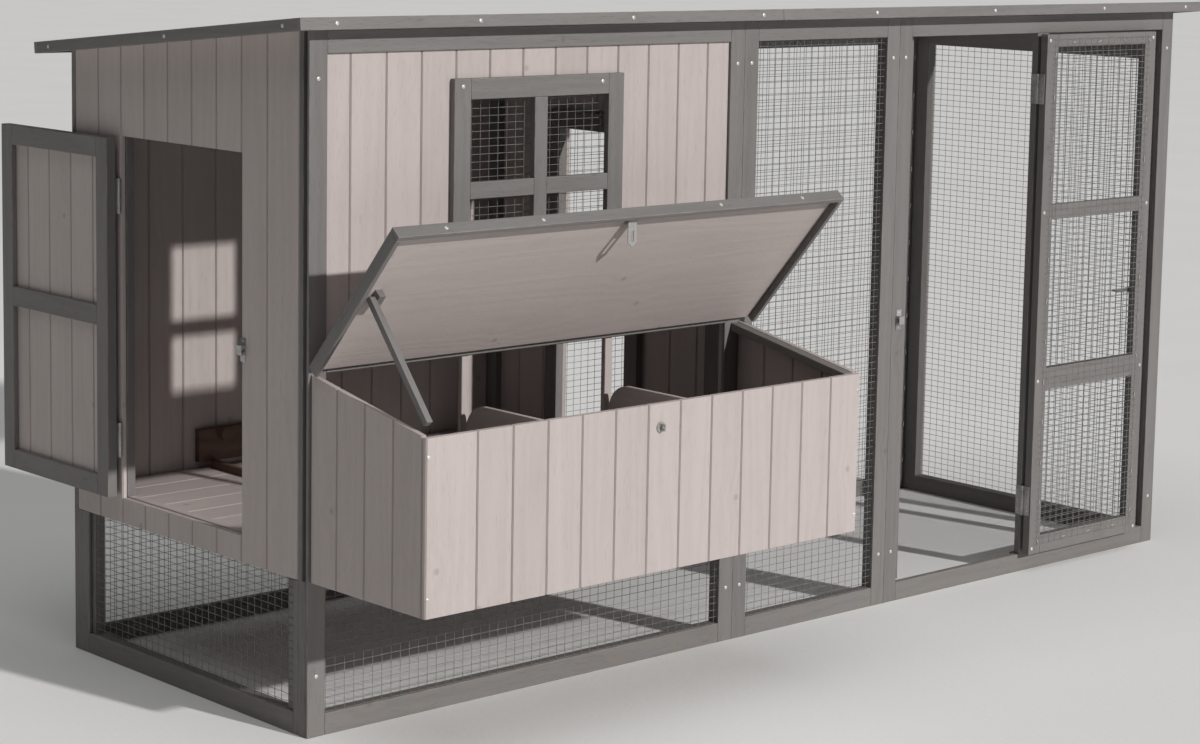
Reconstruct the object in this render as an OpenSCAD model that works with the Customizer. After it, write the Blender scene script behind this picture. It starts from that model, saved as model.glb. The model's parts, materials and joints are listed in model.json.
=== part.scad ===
// Chicken coop: a raised timber house with a nest box, and a wire run with a door.
// Lengths are in millimetres. X runs along the front from the house end, Y goes from
// the front to the back, and Z is up from the ground. The model is built from its
// lower left front corner and then moved so that the origin is under its middle.

/* [Overall] */
// Length of the house part along the front
house_l = 958; // [800:1:1300]
// Length of the middle bay of the run
run_bay_l = 415; // [300:1:600]
// Length of the bay that holds the run door
door_bay_l = 857; // [850:1:1200]
// Depth from the front face to the back face
coop_d = 700; // [670:1:900]
// Height of the front frame
front_h = 1134; // [1120:1:1500]
// How much lower the back of the roof is
roof_fall = 68; // [30:1:140]

/* [Frame timber] */
// Width of every stile, rail and batten
batten_w = 35; // [28:1:42]
// Thickness of the front, end and partition panels
frame_t = 26; // [23:1:32]
// Thickness of the flat strips that face the frames
trim_t = 6; // [4:1:8]
// Thickness of the back frame
back_t = 12; // [9:1:20]
// Thickness of the wall boards
board_t = 10; // [8:1:12]
// Width that one wall board covers
board_pitch = 71.5; // [55:0.5:95]
// Gap left between neighbouring boards
seam = 0.4; // [0.2:0.1:1]
// Thickness of the plates that stand for welded wire
mesh_t = 1; // [0.8:0.1:1.5]

/* [House] */
// Height of the lower edge of the wall boards
wall_bottom_z = 256; // [200:1:300]
// Height of the top of the house floor
floor_z = 300; // [290:1:380]
// Thickness of the floor boards
floor_t = 12; // [9:1:18]
// Thickness of the bearers under the floor
bearer_t = 20; // [15:1:30]
// Width of the doorway in the partition
inner_door_w = 192; // [140:1:260]
// Height of the doorway in the partition
inner_door_h = 610; // [400:1:680]
// Distance from the front face to the partition doorway
inner_door_y = 278; // [200:1:320]

/* [Window] */
// Outer width of the window frame
window_w = 374; // [300:1:460]
// Outer height of the window frame
window_h = 370; // [300:1:400]
// Distance from the house end to the window frame
window_x = 286; // [200:1:320]
// Height of the lower edge of the window frame
window_z = 681; // [660:1:700]
// Width of the two bars that cross the window
window_bar = 28; // [20:1:40]
// Thickness of the window frame
window_t = 12; // [8:1:16]

/* [Roof] */
// Overhang at both ends of the roof
roof_end_over = 46; // [30:1:80]
// Overhang at the front
roof_front_over = 40; // [30:1:70]
// Overhang at the back
roof_back_over = 46; // [30:1:80]
// Distance from the house end to the joint of the two roof halves
roof_joint_x = 1015; // [700:1:1400]
// Thickness of the roof deck
deck_t = 12; // [9:1:18]
// Thickness of the roofing felt
felt_t = 2; // [1.5:0.5:4]
// Height of the strip around the roof edge
fascia_h = 20; // [18:1:40]
// Thickness of the strip around the roof edge
fascia_t = 12; // [9:1:18]

/* [Run door] */
// Width of the door leaf
run_door_w = 355; // [300:1:380]
// Thickness of the door leaf
run_door_t = 18; // [15:1:22]
// Height of the lower middle rail's lower edge above the ground
run_rail_low_z = 376; // [300:1:450]
// Height of the lower middle rail
run_rail_low_h = 45; // [30:1:60]
// Height of the upper middle rail's lower edge above the ground
run_rail_high_z = 724; // [600:1:850]
// Height of the upper middle rail
run_rail_high_h = 30; // [20:1:45]
// Height of the hole for the bolt above the ground
run_bolt_z = 555; // [500:1:600]
// Clear width left beside the closed leaf, which the stop strip covers
run_side_gap = 18; // [8:1:22]
// Thickness of the jamb that carries the hinges
jamb_t = 14; // [14:1:18]

/* [End door] */
// Width of the end door leaf
end_door_w = 350; // [280:1:380]
// Height of the end door leaf
end_door_h = 624; // [500:1:680]
// Thickness of the end door leaf
end_door_t = 18; // [15:1:22]
// Distance from the front face to the end door opening
end_door_y = 184; // [150:1:220]
// Height of the end door's middle rail above its lower edge
end_rail_z = 298; // [200:1:360]
// Height of the end door's bolt above the ground
end_bolt_z = 609; // [560:1:640]

/* [Nest box] */
// Outer length of the nest box along the front
nest_l = 961; // [880:1:963]
// How far the nest box stands out from the front
nest_d = 293; // [250:1:320]
// Height of the nest box at the wall, above the ground
nest_back_z = 592; // [570:1:610]
// Height of the nest box at its front, above the ground
nest_front_z = 536; // [520:1:560]
// Distance from the house end to the nest box
nest_x = 5; // [5:1:8]
// Height of the partitions inside the nest box
divider_h = 246; // [180:1:260]
// Radius of their rounded upper corner
divider_r = 48; // [20:1:70]

/* [Nest lid] */
// Length of the lid from the hinge to its free edge
lid_l = 330; // [325:1:345]
// Thickness of the lid panel
lid_t = 9; // [8:1:10]
// Height of the strip around the lid edge
lid_rim_h = 22; // [16:1:26]
// Thickness of the strip around the lid edge
lid_rim_t = 8.5; // [6:0.5:9]
// Angle of the open lid above level
lid_open = 49; // [35:1:55]
// Side length of the stay's square batten
stay_w = 11; // [9:1:14]

/* [Hinges and bolts] */
// Height of a door hinge
hinge_h = 60; // [45:3:75]
// Thickness of a hinge leaf
leaf_t = 1.5; // [1:0.1:2]
// Width of a hinge leaf from the pin
leaf_w = 17; // [15:0.5:17]
// Outer radius of a hinge knuckle
knuckle_r = 3.2; // [3:0.1:3.4]
// Radius of a hinge pin
pin_r = 1.5; // [1.2:0.1:1.8]
// Radius of a bolt rod
rod_r = 3; // [2.5:0.1:3.5]

/* [Fits] */
// Gap around pins and rods that turn or slide
run_fit = 0.05; // [0.03:0.01:0.1]
// Gap between parts that pass each other
pass_gap = 0.3; // [0.2:0.1:0.6]
// Gap between the end of a rail and the side of a stile
joint_gap = 0.3; // [0.2:0.1:0.6]

/* [Hidden] */
$fn = 32;

// Colours of the finishes
trim_grey = [0.50, 0.48, 0.46];
board_light = [0.78, 0.74, 0.71];
felt_grey = [0.30, 0.30, 0.31];
metal = [0.70, 0.70, 0.68];
wire_grey = [0.55, 0.55, 0.54];
brown = [0.35, 0.22, 0.17];

// Main lines of the frame
coop_l = house_l + run_bay_l + door_bay_l;
rail_top_z = front_h - batten_w - 1;
rail_low_z = batten_w + 1;
slope = roof_fall / coop_d;
slope_angle = atan(slope);
back_h = front_h - roof_fall + slope * frame_t;
bay2_x = house_l;
bay3_x = house_l + run_bay_l;
back_y = coop_d - back_t;

// Run door opening and hinge line
doorway_x0 = bay3_x + batten_w;
edge_gap = 2 * leaf_t + pass_gap;
doorway_x1 = doorway_x0 + run_side_gap + run_door_w + edge_gap;
run_pin_x = doorway_x1 - edge_gap / 2;
pin_out = 4;
floor_gap = 2;
run_door_z0 = rail_low_z + floor_gap;
run_door_z1 = rail_top_z - floor_gap;
run_leaf_x0 = doorway_x1;
run_leaf_x1 = run_leaf_x0 + run_door_w;
run_leaf_y0 = -2 * pin_out - run_door_t;
run_leaf_y1 = -2 * pin_out;
run_hinge_low = 81;
run_hinge_high = 139;
run_hinge_z = [run_door_z0 + run_hinge_low, run_door_z1 - run_hinge_high];

// End door opening and hinge line
end_gap = 3;
end_edge = 4;
opening_y0 = end_door_y;
pin_room = 1.5;
opening_y1 = end_door_y + end_door_w + 2 * end_gap + pin_room;
end_pin_y = opening_y1 - end_gap + end_edge;
end_leaf_y0 = end_pin_y + end_edge;
end_leaf_y1 = end_leaf_y0 + end_door_w;
end_leaf_x0 = -2 * pin_out - end_door_t;
end_leaf_x1 = -2 * pin_out;
sill_t = 3;
end_leaf_z0 = floor_z + sill_t;
end_leaf_z1 = end_leaf_z0 + end_door_h;
opening_z1 = end_leaf_z1 + end_gap;
end_hinge_in = 70;
end_hinge_z = [end_leaf_z0 + end_hinge_in, end_leaf_z1 - end_hinge_in - hinge_h];

// Nest box and lid
nest_x1 = nest_x + nest_l;
nest_slope = (nest_back_z - nest_front_z) / nest_d;
nest_angle = atan(nest_slope);
lid_pin_r = 3;
lid_pin_y = -lid_pin_r;
lid_top_w = lid_pin_r - leaf_t;
lid_under_w = lid_top_w - lid_t;
lid_seat = 0.5;
lid_pin_z = nest_back_z - nest_slope * lid_pin_r + (lid_seat - lid_under_w) / cos(nest_angle);
lid_side = 1.5;
lid_x0 = nest_x - lid_side - lid_rim_t;
lid_x1 = nest_x1 + lid_side + lid_rim_t;
lid_start = 8;
nest_floor_z = wall_bottom_z + board_t;
nest_top_gap = 2;
divider_t = 10;
divider_x = [nest_x + nest_l / 3 - divider_t / 2, nest_x + nest_l * 2 / 3 - divider_t / 2];
hasp_off_middle = 4;
hasp_x = nest_x + nest_l / 2 + hasp_off_middle;
hasp_w = 19;
hasp_t = 1.5;
hasp_l = 46;
staple_out = 12;
hasp_clear = 4;
hasp_reach = nest_d + staple_out + hasp_clear;
hasp_w_off = lid_under_w - 3;
hasp_u = (hasp_reach + lid_pin_y - hasp_w_off * sin(nest_angle)) / cos(nest_angle);
staple_z = 497;

// Stay from the lid to the front of the nest box
stay_in = 6;
stay_drop = 9;
stay_foot_up = 18;
stay_pin_r = 2;
stay_x = nest_x + board_t + stay_in;
stay_head_u = 182;
stay_head_w = lid_under_w - stay_drop;
stay_foot_y = -(nest_d - board_t - stay_in);
stay_foot_z = nest_front_z + stay_foot_up;
stay_head = lid_point(stay_head_u, stay_head_w);
stay_run = [stay_foot_y - stay_head[0], stay_foot_z - stay_head[1]];
stay_l = norm(stay_run);
stay_angle = atan2(stay_run[1], stay_run[0]);

// The origin lies on the ground under the middle of the box around the model
origin_x = coop_l / 2;
origin_y = (end_leaf_y1 - nest_d - staple_out) / 2;

// Place of a point given along the open lid and square to it, as [y, z]
function lid_point(u, w) = [
    lid_pin_y - u * cos(lid_open) + w * sin(lid_open),
    lid_pin_z + u * sin(lid_open) + w * cos(lid_open)
];

// Lower face of the roof over a given distance from the front
function roof_z(y) = front_h + slope * (frame_t - y);

// Edges of boards laid side by side: both ends and a seam every pitch after the first
function board_edges(from, to, first) = concat(
    [from],
    [for (e = first; e < to - board_pitch / 4; e = e + board_pitch) e],
    [to]
);

// A block between two limits on each axis
module block(x, y, z) {
    translate([x[0], y[0], z[0]])
        cube([x[1] - x[0], y[1] - y[0], z[1] - z[0]]);
}

// Everything below the lower face of the roof
module below_roof() {
    reach = coop_d + 2;
    translate([-2, 0, 0])
        rotate([90, 0, 90])
            linear_extrude(coop_l + 4)
                polygon([[-2, -1], [reach, -1], [reach, roof_z(reach)], [-2, roof_z(-2)]]);
}

// Boards side by side along X
module boards_x(edges, y, z) {
    for (i = [0 : len(edges) - 2])
        block([edges[i] + seam / 2, edges[i + 1] - seam / 2], y, z);
}

// Boards side by side along Y
module boards_y(x, edges, z) {
    for (i = [0 : len(edges) - 2])
        block(x, [edges[i] + seam / 2, edges[i + 1] - seam / 2], z);
}

// A part drawn in the shut lid's own axes, turned to the open lid: u runs from
// the pin to the free edge, and w stands square to the lid on its outer side
module on_lid() {
    translate([0, lid_pin_y, lid_pin_z])
        rotate([-lid_open, 0, 0])
            children();
}

// A block on the lid, by its limits along X, u and w
module lid_block(x, u, w) {
    block(x, [-u[1], -u[0]], w);
}

// A part drawn in the roof's own axes: y runs down the slope from the front face
module on_roof() {
    translate([0, 0, roof_z(0)])
        rotate([-slope_angle, 0, 0])
            children();
}

// ---- Front panel ----

stile_gap = joint_gap / 2;
stile_x = [
    [0, batten_w],
    [house_l - batten_w, house_l - stile_gap],
    [bay2_x + stile_gap, bay2_x + batten_w],
    [bay3_x - batten_w, bay3_x - stile_gap],
    [bay3_x + stile_gap, bay3_x + batten_w],
    [coop_l - batten_w, coop_l]
];
bay_x = [
    [batten_w + joint_gap, house_l - batten_w - joint_gap],
    [bay2_x + batten_w + joint_gap, bay3_x - batten_w - joint_gap],
    [bay3_x + batten_w + joint_gap, coop_l - batten_w - joint_gap]
];

lid_rail_h = 41;
wall_lap = 10;
wall_batten_h = 30;

module front_trim() {
    color(trim_grey) {
        for (s = stile_x) block(s, [0, trim_t], [0, front_h]);
        for (b = bay_x) {
            block(b, [0, trim_t], [0, rail_low_z]);
            block(b, [0, trim_t], [rail_top_z, front_h]);
        }
        // Rail that carries the nest lid's hinges
        block(bay_x[0], [0, trim_t], [nest_back_z, nest_back_z + lid_rail_h]);
    }
}

// An inner batten of the house front, cut back where the wall boards lie on it
module house_front_batten(x, z) {
    difference() {
        block(x, [trim_t + mesh_t, frame_t], z);
        block([x[0] - 1, x[1] + 1], [trim_t, trim_t + board_t], [wall_bottom_z, front_h + 1]);
    }
}

module front_battens() {
    color(trim_grey) {
        for (i = [0 : 1]) house_front_batten(stile_x[i], [0, front_h]);
        house_front_batten(bay_x[0], [0, rail_low_z]);
        house_front_batten(bay_x[0], [wall_bottom_z + wall_lap - wall_batten_h, wall_bottom_z + wall_lap]);
        house_front_batten(bay_x[0], [nest_back_z, nest_back_z + batten_w]);
        house_front_batten(bay_x[0], [rail_top_z, front_h]);
        for (i = [2 : 3]) block(stile_x[i], [trim_t + mesh_t, frame_t], [0, front_h]);
        block(stile_x[4], [trim_t, frame_t], [0, front_h]);
        block(bay_x[1], [trim_t + mesh_t, frame_t], [0, rail_low_z]);
        block(bay_x[1], [trim_t + mesh_t, frame_t], [rail_top_z, front_h]);
        block(bay_x[2], [trim_t, jamb_t], [0, rail_low_z]);
        block(bay_x[2], [trim_t, jamb_t], [rail_top_z, front_h]);
        block(stile_x[5], [trim_t, jamb_t], [0, front_h]);
        fixed_x = [doorway_x1 + joint_gap, coop_l - batten_w - joint_gap];
        inner_y = [jamb_t + mesh_t, frame_t];
        block(fixed_x, inner_y, [0, rail_low_z]);
        block(fixed_x, inner_y, [rail_top_z, front_h]);
        block(stile_x[5], inner_y, [0, front_h]);
    }
}

module house_front_boards() {
    first = board_pitch + 12.5;
    pane_inset = 20;
    nest_in = 8;
    color(board_light)
        difference() {
            boards_x(
                board_edges(batten_w / 2, house_l - batten_w / 2, first),
                [trim_t, trim_t + board_t],
                [wall_bottom_z, front_h]
            );
            // Way into the nest box
            block(
                [batten_w, min(house_l - batten_w, nest_x1 - batten_w - nest_in)],
                [trim_t - 1, frame_t],
                [floor_z, nest_back_z - nest_top_gap]
            );
            // Hole behind the window frame
            block(
                [window_x + pane_inset, window_x + window_w - pane_inset],
                [trim_t - 1, frame_t],
                [window_z + pane_inset, window_z + window_h - pane_inset]
            );
        }
}

// Window frame with four panes, laid on the front boards
module window_frame() {
    side = (window_w - window_bar) / 2;
    pane_w = side - batten_w;
    pane_h = (window_h - window_bar) / 2 - batten_w;
    color(trim_grey)
        difference() {
            block(
                [window_x, window_x + window_w],
                [trim_t - window_t, trim_t],
                [window_z, window_z + window_h]
            );
            for (x = [window_x + batten_w, window_x + side + window_bar])
                for (z = [window_z + batten_w, window_z + batten_w + pane_h + window_bar])
                    block([x, x + pane_w], [-window_t, trim_t + 1], [z, z + pane_h]);
        }
}

module window_mesh() {
    edge = 12;
    color(wire_grey)
        block(
            [window_x + edge, window_x + window_w - edge],
            [trim_t + board_t, trim_t + board_t + mesh_t],
            [window_z + edge, window_z + window_h - edge]
        );
}

module front_mesh() {
    lap = batten_w / 2;
    color(wire_grey) {
        block(
            [lap, house_l - lap],
            [trim_t, trim_t + mesh_t],
            [lap, wall_bottom_z - pass_gap]
        );
        block(
            [bay2_x + lap, bay3_x - lap],
            [trim_t, trim_t + mesh_t],
            [lap, front_h - lap]
        );
        block(
            [doorway_x1 + lap, coop_l - lap],
            [jamb_t, jamb_t + mesh_t],
            [lap, front_h - lap]
        );
    }
}

// Light posts that split the way into the nests
module nest_posts() {
    post_w = 17;
    color(board_light)
        for (x = divider_x)
            block(
                [x + divider_t / 2 - post_w / 2, x + divider_t / 2 + post_w / 2],
                [trim_t, trim_t + board_t],
                [floor_z + joint_gap, nest_back_z - nest_top_gap - joint_gap]
            );
}

module door_jamb() {
    color(trim_grey)
        block(
            [doorway_x1, doorway_x1 + batten_w],
            [0, jamb_t],
            [rail_low_z + joint_gap, rail_top_z - joint_gap]
        );
}

// Strip behind the closed leaf, at the side where the bolt is
module door_stop() {
    lap = 8;
    color(trim_grey)
        block(
            [doorway_x0 + joint_gap, doorway_x0 + run_side_gap + lap],
            [run_door_t + 1, frame_t],
            [rail_low_z + joint_gap, rail_top_z - joint_gap]
        );
}

// ---- House end panel ----

end_panel_y = [frame_t + joint_gap, back_y];
end_inner_y1 = back_y - board_t - joint_gap;

module end_trim() {
    strip_w = 12;
    y = end_panel_y;
    z1 = wall_bottom_z - joint_gap;
    color(trim_grey) {
        block([0, trim_t], [y[0], y[0] + strip_w], [0, z1]);
        block([0, trim_t], [y[1] - batten_w, y[1]], [0, z1]);
        block(
            [0, trim_t],
            [y[0] + strip_w + joint_gap, y[1] - batten_w - joint_gap],
            [0, rail_low_z]
        );
    }
}

module end_battens() {
    x = [board_t, frame_t];
    low_x = [trim_t + mesh_t, frame_t];
    y0 = end_panel_y[0];
    y1 = end_inner_y1;
    inside = [y0 + batten_w + joint_gap, y1 - batten_w - joint_gap];
    wall_z0 = wall_bottom_z + batten_w + joint_gap;
    top_z = opening_z1 + batten_w;
    color(trim_grey) {
        for (y = [y0, y1 - batten_w]) {
            block(low_x, [y, y + batten_w], [0, wall_bottom_z - joint_gap]);
            intersection() {
                block(x, [y, y + batten_w], [wall_z0, front_h + frame_t]);
                below_roof();
            }
        }
        block(low_x, inside, [0, rail_low_z]);
        block(x, [y0, y1], [wall_bottom_z, wall_bottom_z + batten_w]);
        block(x, [opening_y0 - batten_w, opening_y0], [wall_z0, opening_z1]);
        block(x, [opening_y1, opening_y1 + batten_w], [wall_z0, opening_z1]);
        block(
            x,
            [opening_y0 - batten_w, opening_y1 + batten_w],
            [opening_z1 + joint_gap, top_z]
        );
    }
}

module end_boards() {
    // A seam lies at the near side of the door opening
    before = max(1, floor((opening_y0 - end_panel_y[0]) / board_pitch));
    first = opening_y0 - (before - 1) * board_pitch;
    color(board_light)
        intersection() {
            difference() {
                boards_y(
                    [0, board_t],
                    board_edges(end_panel_y[0], end_panel_y[1], first),
                    [wall_bottom_z, front_h + frame_t]
                );
                block([-1, board_t + 1], [opening_y0, opening_y1], [floor_z, opening_z1]);
            }
            below_roof();
        }
}

module end_mesh() {
    lap = batten_w / 2;
    color(wire_grey)
        block(
            [trim_t, trim_t + mesh_t],
            [end_panel_y[0] + 6, end_inner_y1 - lap],
            [lap, wall_bottom_z - joint_gap]
        );
}

// Light sill along the bottom of the end door opening, on the batten under it
module end_sill() {
    color(board_light)
        block(
            [board_t + joint_gap, frame_t],
            [opening_y0 + joint_gap, opening_y1 - joint_gap],
            [wall_bottom_z + batten_w, floor_z + sill_t - 1]
        );
}

// ---- Back panel ----

module back_frame() {
    y = [back_y, coop_d];
    x_gap = joint_gap;
    stiles = [0, house_l - batten_w, bay3_x - batten_w, coop_l - batten_w];
    color(trim_grey)
        for (i = [0 : 3]) {
            block([stiles[i], stiles[i] + batten_w], y, [0, back_h]);
            if (i < 3) {
                x = [stiles[i] + batten_w + x_gap, stiles[i + 1] - x_gap];
                block(x, y, [0, rail_low_z]);
                block(x, y, [back_h - batten_w, back_h]);
            }
        }
}

module back_boards() {
    color(board_light)
        intersection() {
            boards_x(
                board_edges(board_t + joint_gap, house_l - frame_t - joint_gap, board_pitch),
                [back_y - board_t, back_y],
                [wall_bottom_z, front_h]
            );
            below_roof();
        }
}

module back_mesh() {
    lap = batten_w / 2;
    y = [back_y - mesh_t, back_y];
    color(wire_grey) {
        block([frame_t + joint_gap, house_l - lap], y, [lap, wall_bottom_z - joint_gap]);
        block([house_l + 2, coop_l - frame_t - joint_gap], y, [lap, back_h - lap]);
    }
}

// ---- Run end panel ----

module run_end_trim() {
    x = [coop_l - trim_t, coop_l];
    strip_w = 9;
    y0 = frame_t + joint_gap;
    inner = [y0 + strip_w + joint_gap, back_y - batten_w - joint_gap];
    color(trim_grey)
        intersection() {
            union() {
                block(x, [y0, y0 + strip_w], [0, front_h + frame_t]);
                block(x, [back_y - batten_w, back_y], [0, front_h + frame_t]);
                block(x, inner, [0, rail_low_z]);
                block(x, inner, [back_h - batten_w, front_h + frame_t]);
            }
            below_roof();
        }
}

module run_end_battens() {
    x = [coop_l - frame_t, coop_l - trim_t - mesh_t];
    y0 = frame_t + joint_gap;
    y1 = back_y - mesh_t - joint_gap;
    inside = [y0 + batten_w + joint_gap, y1 - batten_w - joint_gap];
    color(trim_grey)
        intersection() {
            union() {
                block(x, [y0, y0 + batten_w], [0, front_h + frame_t]);
                block(x, [y1 - batten_w, y1], [0, front_h + frame_t]);
                block(x, inside, [0, rail_low_z]);
                block(x, inside, [back_h - batten_w, front_h + frame_t]);
            }
            below_roof();
        }
}

module run_end_mesh() {
    lap = batten_w / 2;
    x1 = coop_l - trim_t;
    color(wire_grey)
        block([x1 - mesh_t, x1], [frame_t + 6, back_y - lap], [lap, back_h - lap]);
}

// ---- Partition between house and run ----

partition_x = house_l - frame_t;
batten_x = [partition_x, partition_x + frame_t - board_t];
inner_door_y1 = inner_door_y + inner_door_w;
inner_door_z1 = floor_z + inner_door_h;
partition_y1 = back_y - joint_gap;

module partition_battens() {
    y0 = frame_t + joint_gap;
    cap_z = [inner_door_z1 + joint_gap, inner_door_z1 + batten_w];
    color(trim_grey) {
        intersection() {
            for (y = [y0, partition_y1 - batten_w])
                block(batten_x, [y, y + batten_w], [floor_z, front_h + frame_t]);
            below_roof();
        }
        block(batten_x, [inner_door_y - batten_w, inner_door_y], [floor_z, inner_door_z1]);
        block(batten_x, [inner_door_y1, inner_door_y1 + batten_w], [floor_z, inner_door_z1]);
        block(batten_x, [inner_door_y - batten_w, inner_door_y1 + batten_w], cap_z);
    }
}

module partition_boards() {
    y0 = frame_t + joint_gap;
    color(board_light)
        intersection() {
            difference() {
                boards_y(
                    [house_l - board_t, house_l],
                    board_edges(y0, partition_y1, y0 + board_pitch),
                    [wall_bottom_z, front_h + frame_t]
                );
                block(
                    [house_l - board_t - 1, house_l + 1],
                    [inner_door_y, inner_door_y1],
                    [floor_z, inner_door_z1]
                );
            }
            below_roof();
        }
}

// ---- Floor and what stands on it ----

floor_x = [frame_t + joint_gap, partition_x - joint_gap];
floor_y = [frame_t + joint_gap, back_y - board_t - joint_gap];

module floor_boards() {
    color(board_light)
        boards_y(
            floor_x,
            board_edges(floor_y[0], floor_y[1], floor_y[0] + board_pitch),
            [floor_z - floor_t, floor_z]
        );
}

module floor_bearers() {
    z = [floor_z - floor_t - bearer_t, floor_z - floor_t];
    middle = (floor_y[0] + floor_y[1]) / 2;
    color(trim_grey)
        for (y = [floor_y[0], middle - bearer_t / 2, floor_y[1] - bearer_t])
            block(floor_x, [y, y + bearer_t], z);
}

wall_block_t = 14;
wall_block_x = 240;

// Low strip on the floor in front of the block on the back wall
module floor_strip() {
    strip_l = 134;
    strip_w = 12;
    strip_h = 14;
    x0 = wall_block_x + 2 * strip_w;
    y1 = back_y - board_t - wall_block_t - joint_gap;
    color(brown)
        block([x0, x0 + strip_w], [y1 - strip_l, y1], [floor_z, floor_z + strip_h]);
}

// Wooden block with a round knob on the back wall
module wall_block() {
    block_l = 108;
    block_h = 60;
    block_up = 12;
    knob_r = 12.5;
    knob_l = 18;
    knob_x = 50;
    knob_drop = 10;
    z1 = floor_z + block_up + block_h;
    y1 = back_y - board_t;
    color(brown) {
        block([wall_block_x, wall_block_x + block_l], [y1 - wall_block_t, y1], [z1 - block_h, z1]);
        translate([wall_block_x + knob_x, y1 - wall_block_t, z1 - knob_drop])
            rotate([90, 0, 0])
                cylinder(r = knob_r, h = knob_l);
    }
}

// ---- Roof ----

roof_x = [-roof_end_over, coop_l + roof_end_over];
roof_y = [-roof_front_over, (coop_d + roof_back_over) / cos(slope_angle)];
roof_lip = 3.5;
roof_half_x = [
    [roof_x[0], roof_joint_x - joint_gap],
    [roof_joint_x + joint_gap, roof_x[1]]
];

// One layer of the roof between its edge strips, in two halves
module roof_layer(z0, thick) {
    in = fascia_t;
    on_roof() {
        block(
            [roof_half_x[0][0] + in, roof_half_x[0][1]],
            [roof_y[0] + in, roof_y[1] - in],
            [z0, z0 + thick]
        );
        block(
            [roof_half_x[1][0], roof_half_x[1][1] - in],
            [roof_y[0] + in, roof_y[1] - in],
            [z0, z0 + thick]
        );
    }
}

module roof_deck() {
    color(board_light) roof_layer(0, deck_t);
}

module roof_felt() {
    color(felt_grey) roof_layer(deck_t, felt_t);
}

module roof_fascia() {
    z = [-roof_lip, fascia_h - roof_lip];
    color(trim_grey)
        on_roof() {
            for (h = roof_half_x)
                for (y = [roof_y[0], roof_y[1] - fascia_t])
                    block(h, [y, y + fascia_t], z);
            for (x = [roof_x[0], roof_x[1] - fascia_t])
                block(
                    [x, x + fascia_t],
                    [roof_y[0] + fascia_t + joint_gap, roof_y[1] - fascia_t - joint_gap],
                    z
                );
        }
}

// ---- Nest box ----

// Upper edge of the nest box at a distance from the wall
function nest_top(y) = nest_back_z + nest_slope * y;

// Outline of a nest box side between two distances from the wall
module nest_outline(y0, y1, low, drop) {
    polygon([
        [y0, low], [y1, low], [y1, nest_top(y1) - drop], [y0, nest_top(y0) - drop]
    ]);
}

// A plate with a nest box outline, standing across X
module nest_plate(x, thick) {
    translate([x, 0, 0])
        rotate([90, 0, 90])
            linear_extrude(thick)
                children();
}

module nest_front() {
    first = nest_x + board_pitch + 29;
    y = [-nest_d, -nest_d + board_t];
    color(board_light)
        boards_x(board_edges(nest_x, nest_x1, first), y, [wall_bottom_z, nest_front_z]);
}

module nest_sides() {
    edges = board_edges(-nest_d + board_t + joint_gap, 0, -nest_d + board_t + board_pitch);
    color(board_light)
        for (x = [nest_x, nest_x1 - board_t])
            for (i = [0 : len(edges) - 2])
                nest_plate(x, board_t)
                    nest_outline(
                        edges[i] + seam / 2,
                        edges[i + 1] - seam / 2 * sign(-edges[i + 1]),
                        wall_bottom_z,
                        0
                    );
}

module nest_floor() {
    in = board_t + joint_gap;
    color(board_light)
        block(
            [nest_x + in, nest_x1 - in],
            [-nest_d + in, -joint_gap],
            [wall_bottom_z, nest_floor_z]
        );
}

// Low walls between the nests, each with its upper rear corner rounded
module nest_dividers() {
    y0 = -nest_d + board_t + joint_gap;
    y1 = -joint_gap;
    z0 = nest_floor_z;
    z1 = nest_floor_z + divider_h;
    color(board_light)
        for (x = divider_x)
            nest_plate(x, divider_t)
                union() {
                    polygon([[y0, z0], [y1, z0], [y1, z1 - divider_r], [y0, z1 - divider_r]]);
                    polygon([[y0, z0], [y1 - divider_r, z0], [y1 - divider_r, z1], [y0, z1]]);
                    translate([y1 - divider_r, z1 - divider_r])
                        circle(r = divider_r, $fn = 48);
                }
}

// Strips that stiffen the top of the nest box inside
module nest_rim() {
    strip_w = 18;
    strip_h = 16;
    in = board_t + joint_gap;
    color(trim_grey) {
        translate([nest_x1 - in - strip_w, 0, 0])
            nest_plate(0, strip_w)
                polygon([
                    [-nest_d + in, nest_top(-nest_d + in) - strip_h],
                    [-joint_gap, nest_top(0) - strip_h],
                    [-joint_gap, nest_top(0) - 1],
                    [-nest_d + in, nest_top(-nest_d + in) - 1]
                ]);
    }
}

// ---- Hinges ----

// One leaf of a hinge: the pin is on the Z axis and the plate goes towards +Y.
// The plate lies beside the pin, from plate_x outwards.
module hinge_leaf(long, wide, radius, plate_x, own, other) {
    part = long / 3;
    difference() {
        union() {
            translate([plate_x, 0, 0])
                cube([leaf_t, wide, long]);
            for (k = own)
                translate([0, 0, k * part + (k > 0 ? pass_gap / 2 : 0)])
                    cylinder(r = radius, h = part - (k == 1 ? pass_gap : pass_gap / 2));
        }
        for (k = other)
            translate([0, 0, k * part - (k > 0 ? pass_gap / 2 : 1)])
                cylinder(r = radius + pass_gap, h = part + (k == 1 ? pass_gap : 1 + pass_gap / 2));
        translate([0, 0, -1])
            cylinder(r = pin_r + run_fit, h = long + 2);
    }
}

edge_plate_x = pass_gap / 2;
face_plate_x = pin_out - leaf_t;
lid_hinge_l = 42;
lid_hinge_in = 90;
lid_hinge_x = [
    nest_x + lid_hinge_in,
    nest_x + (nest_l - lid_hinge_l) / 2,
    nest_x1 - lid_hinge_in - lid_hinge_l
];
lid_leaf_extra = 8;

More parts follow.
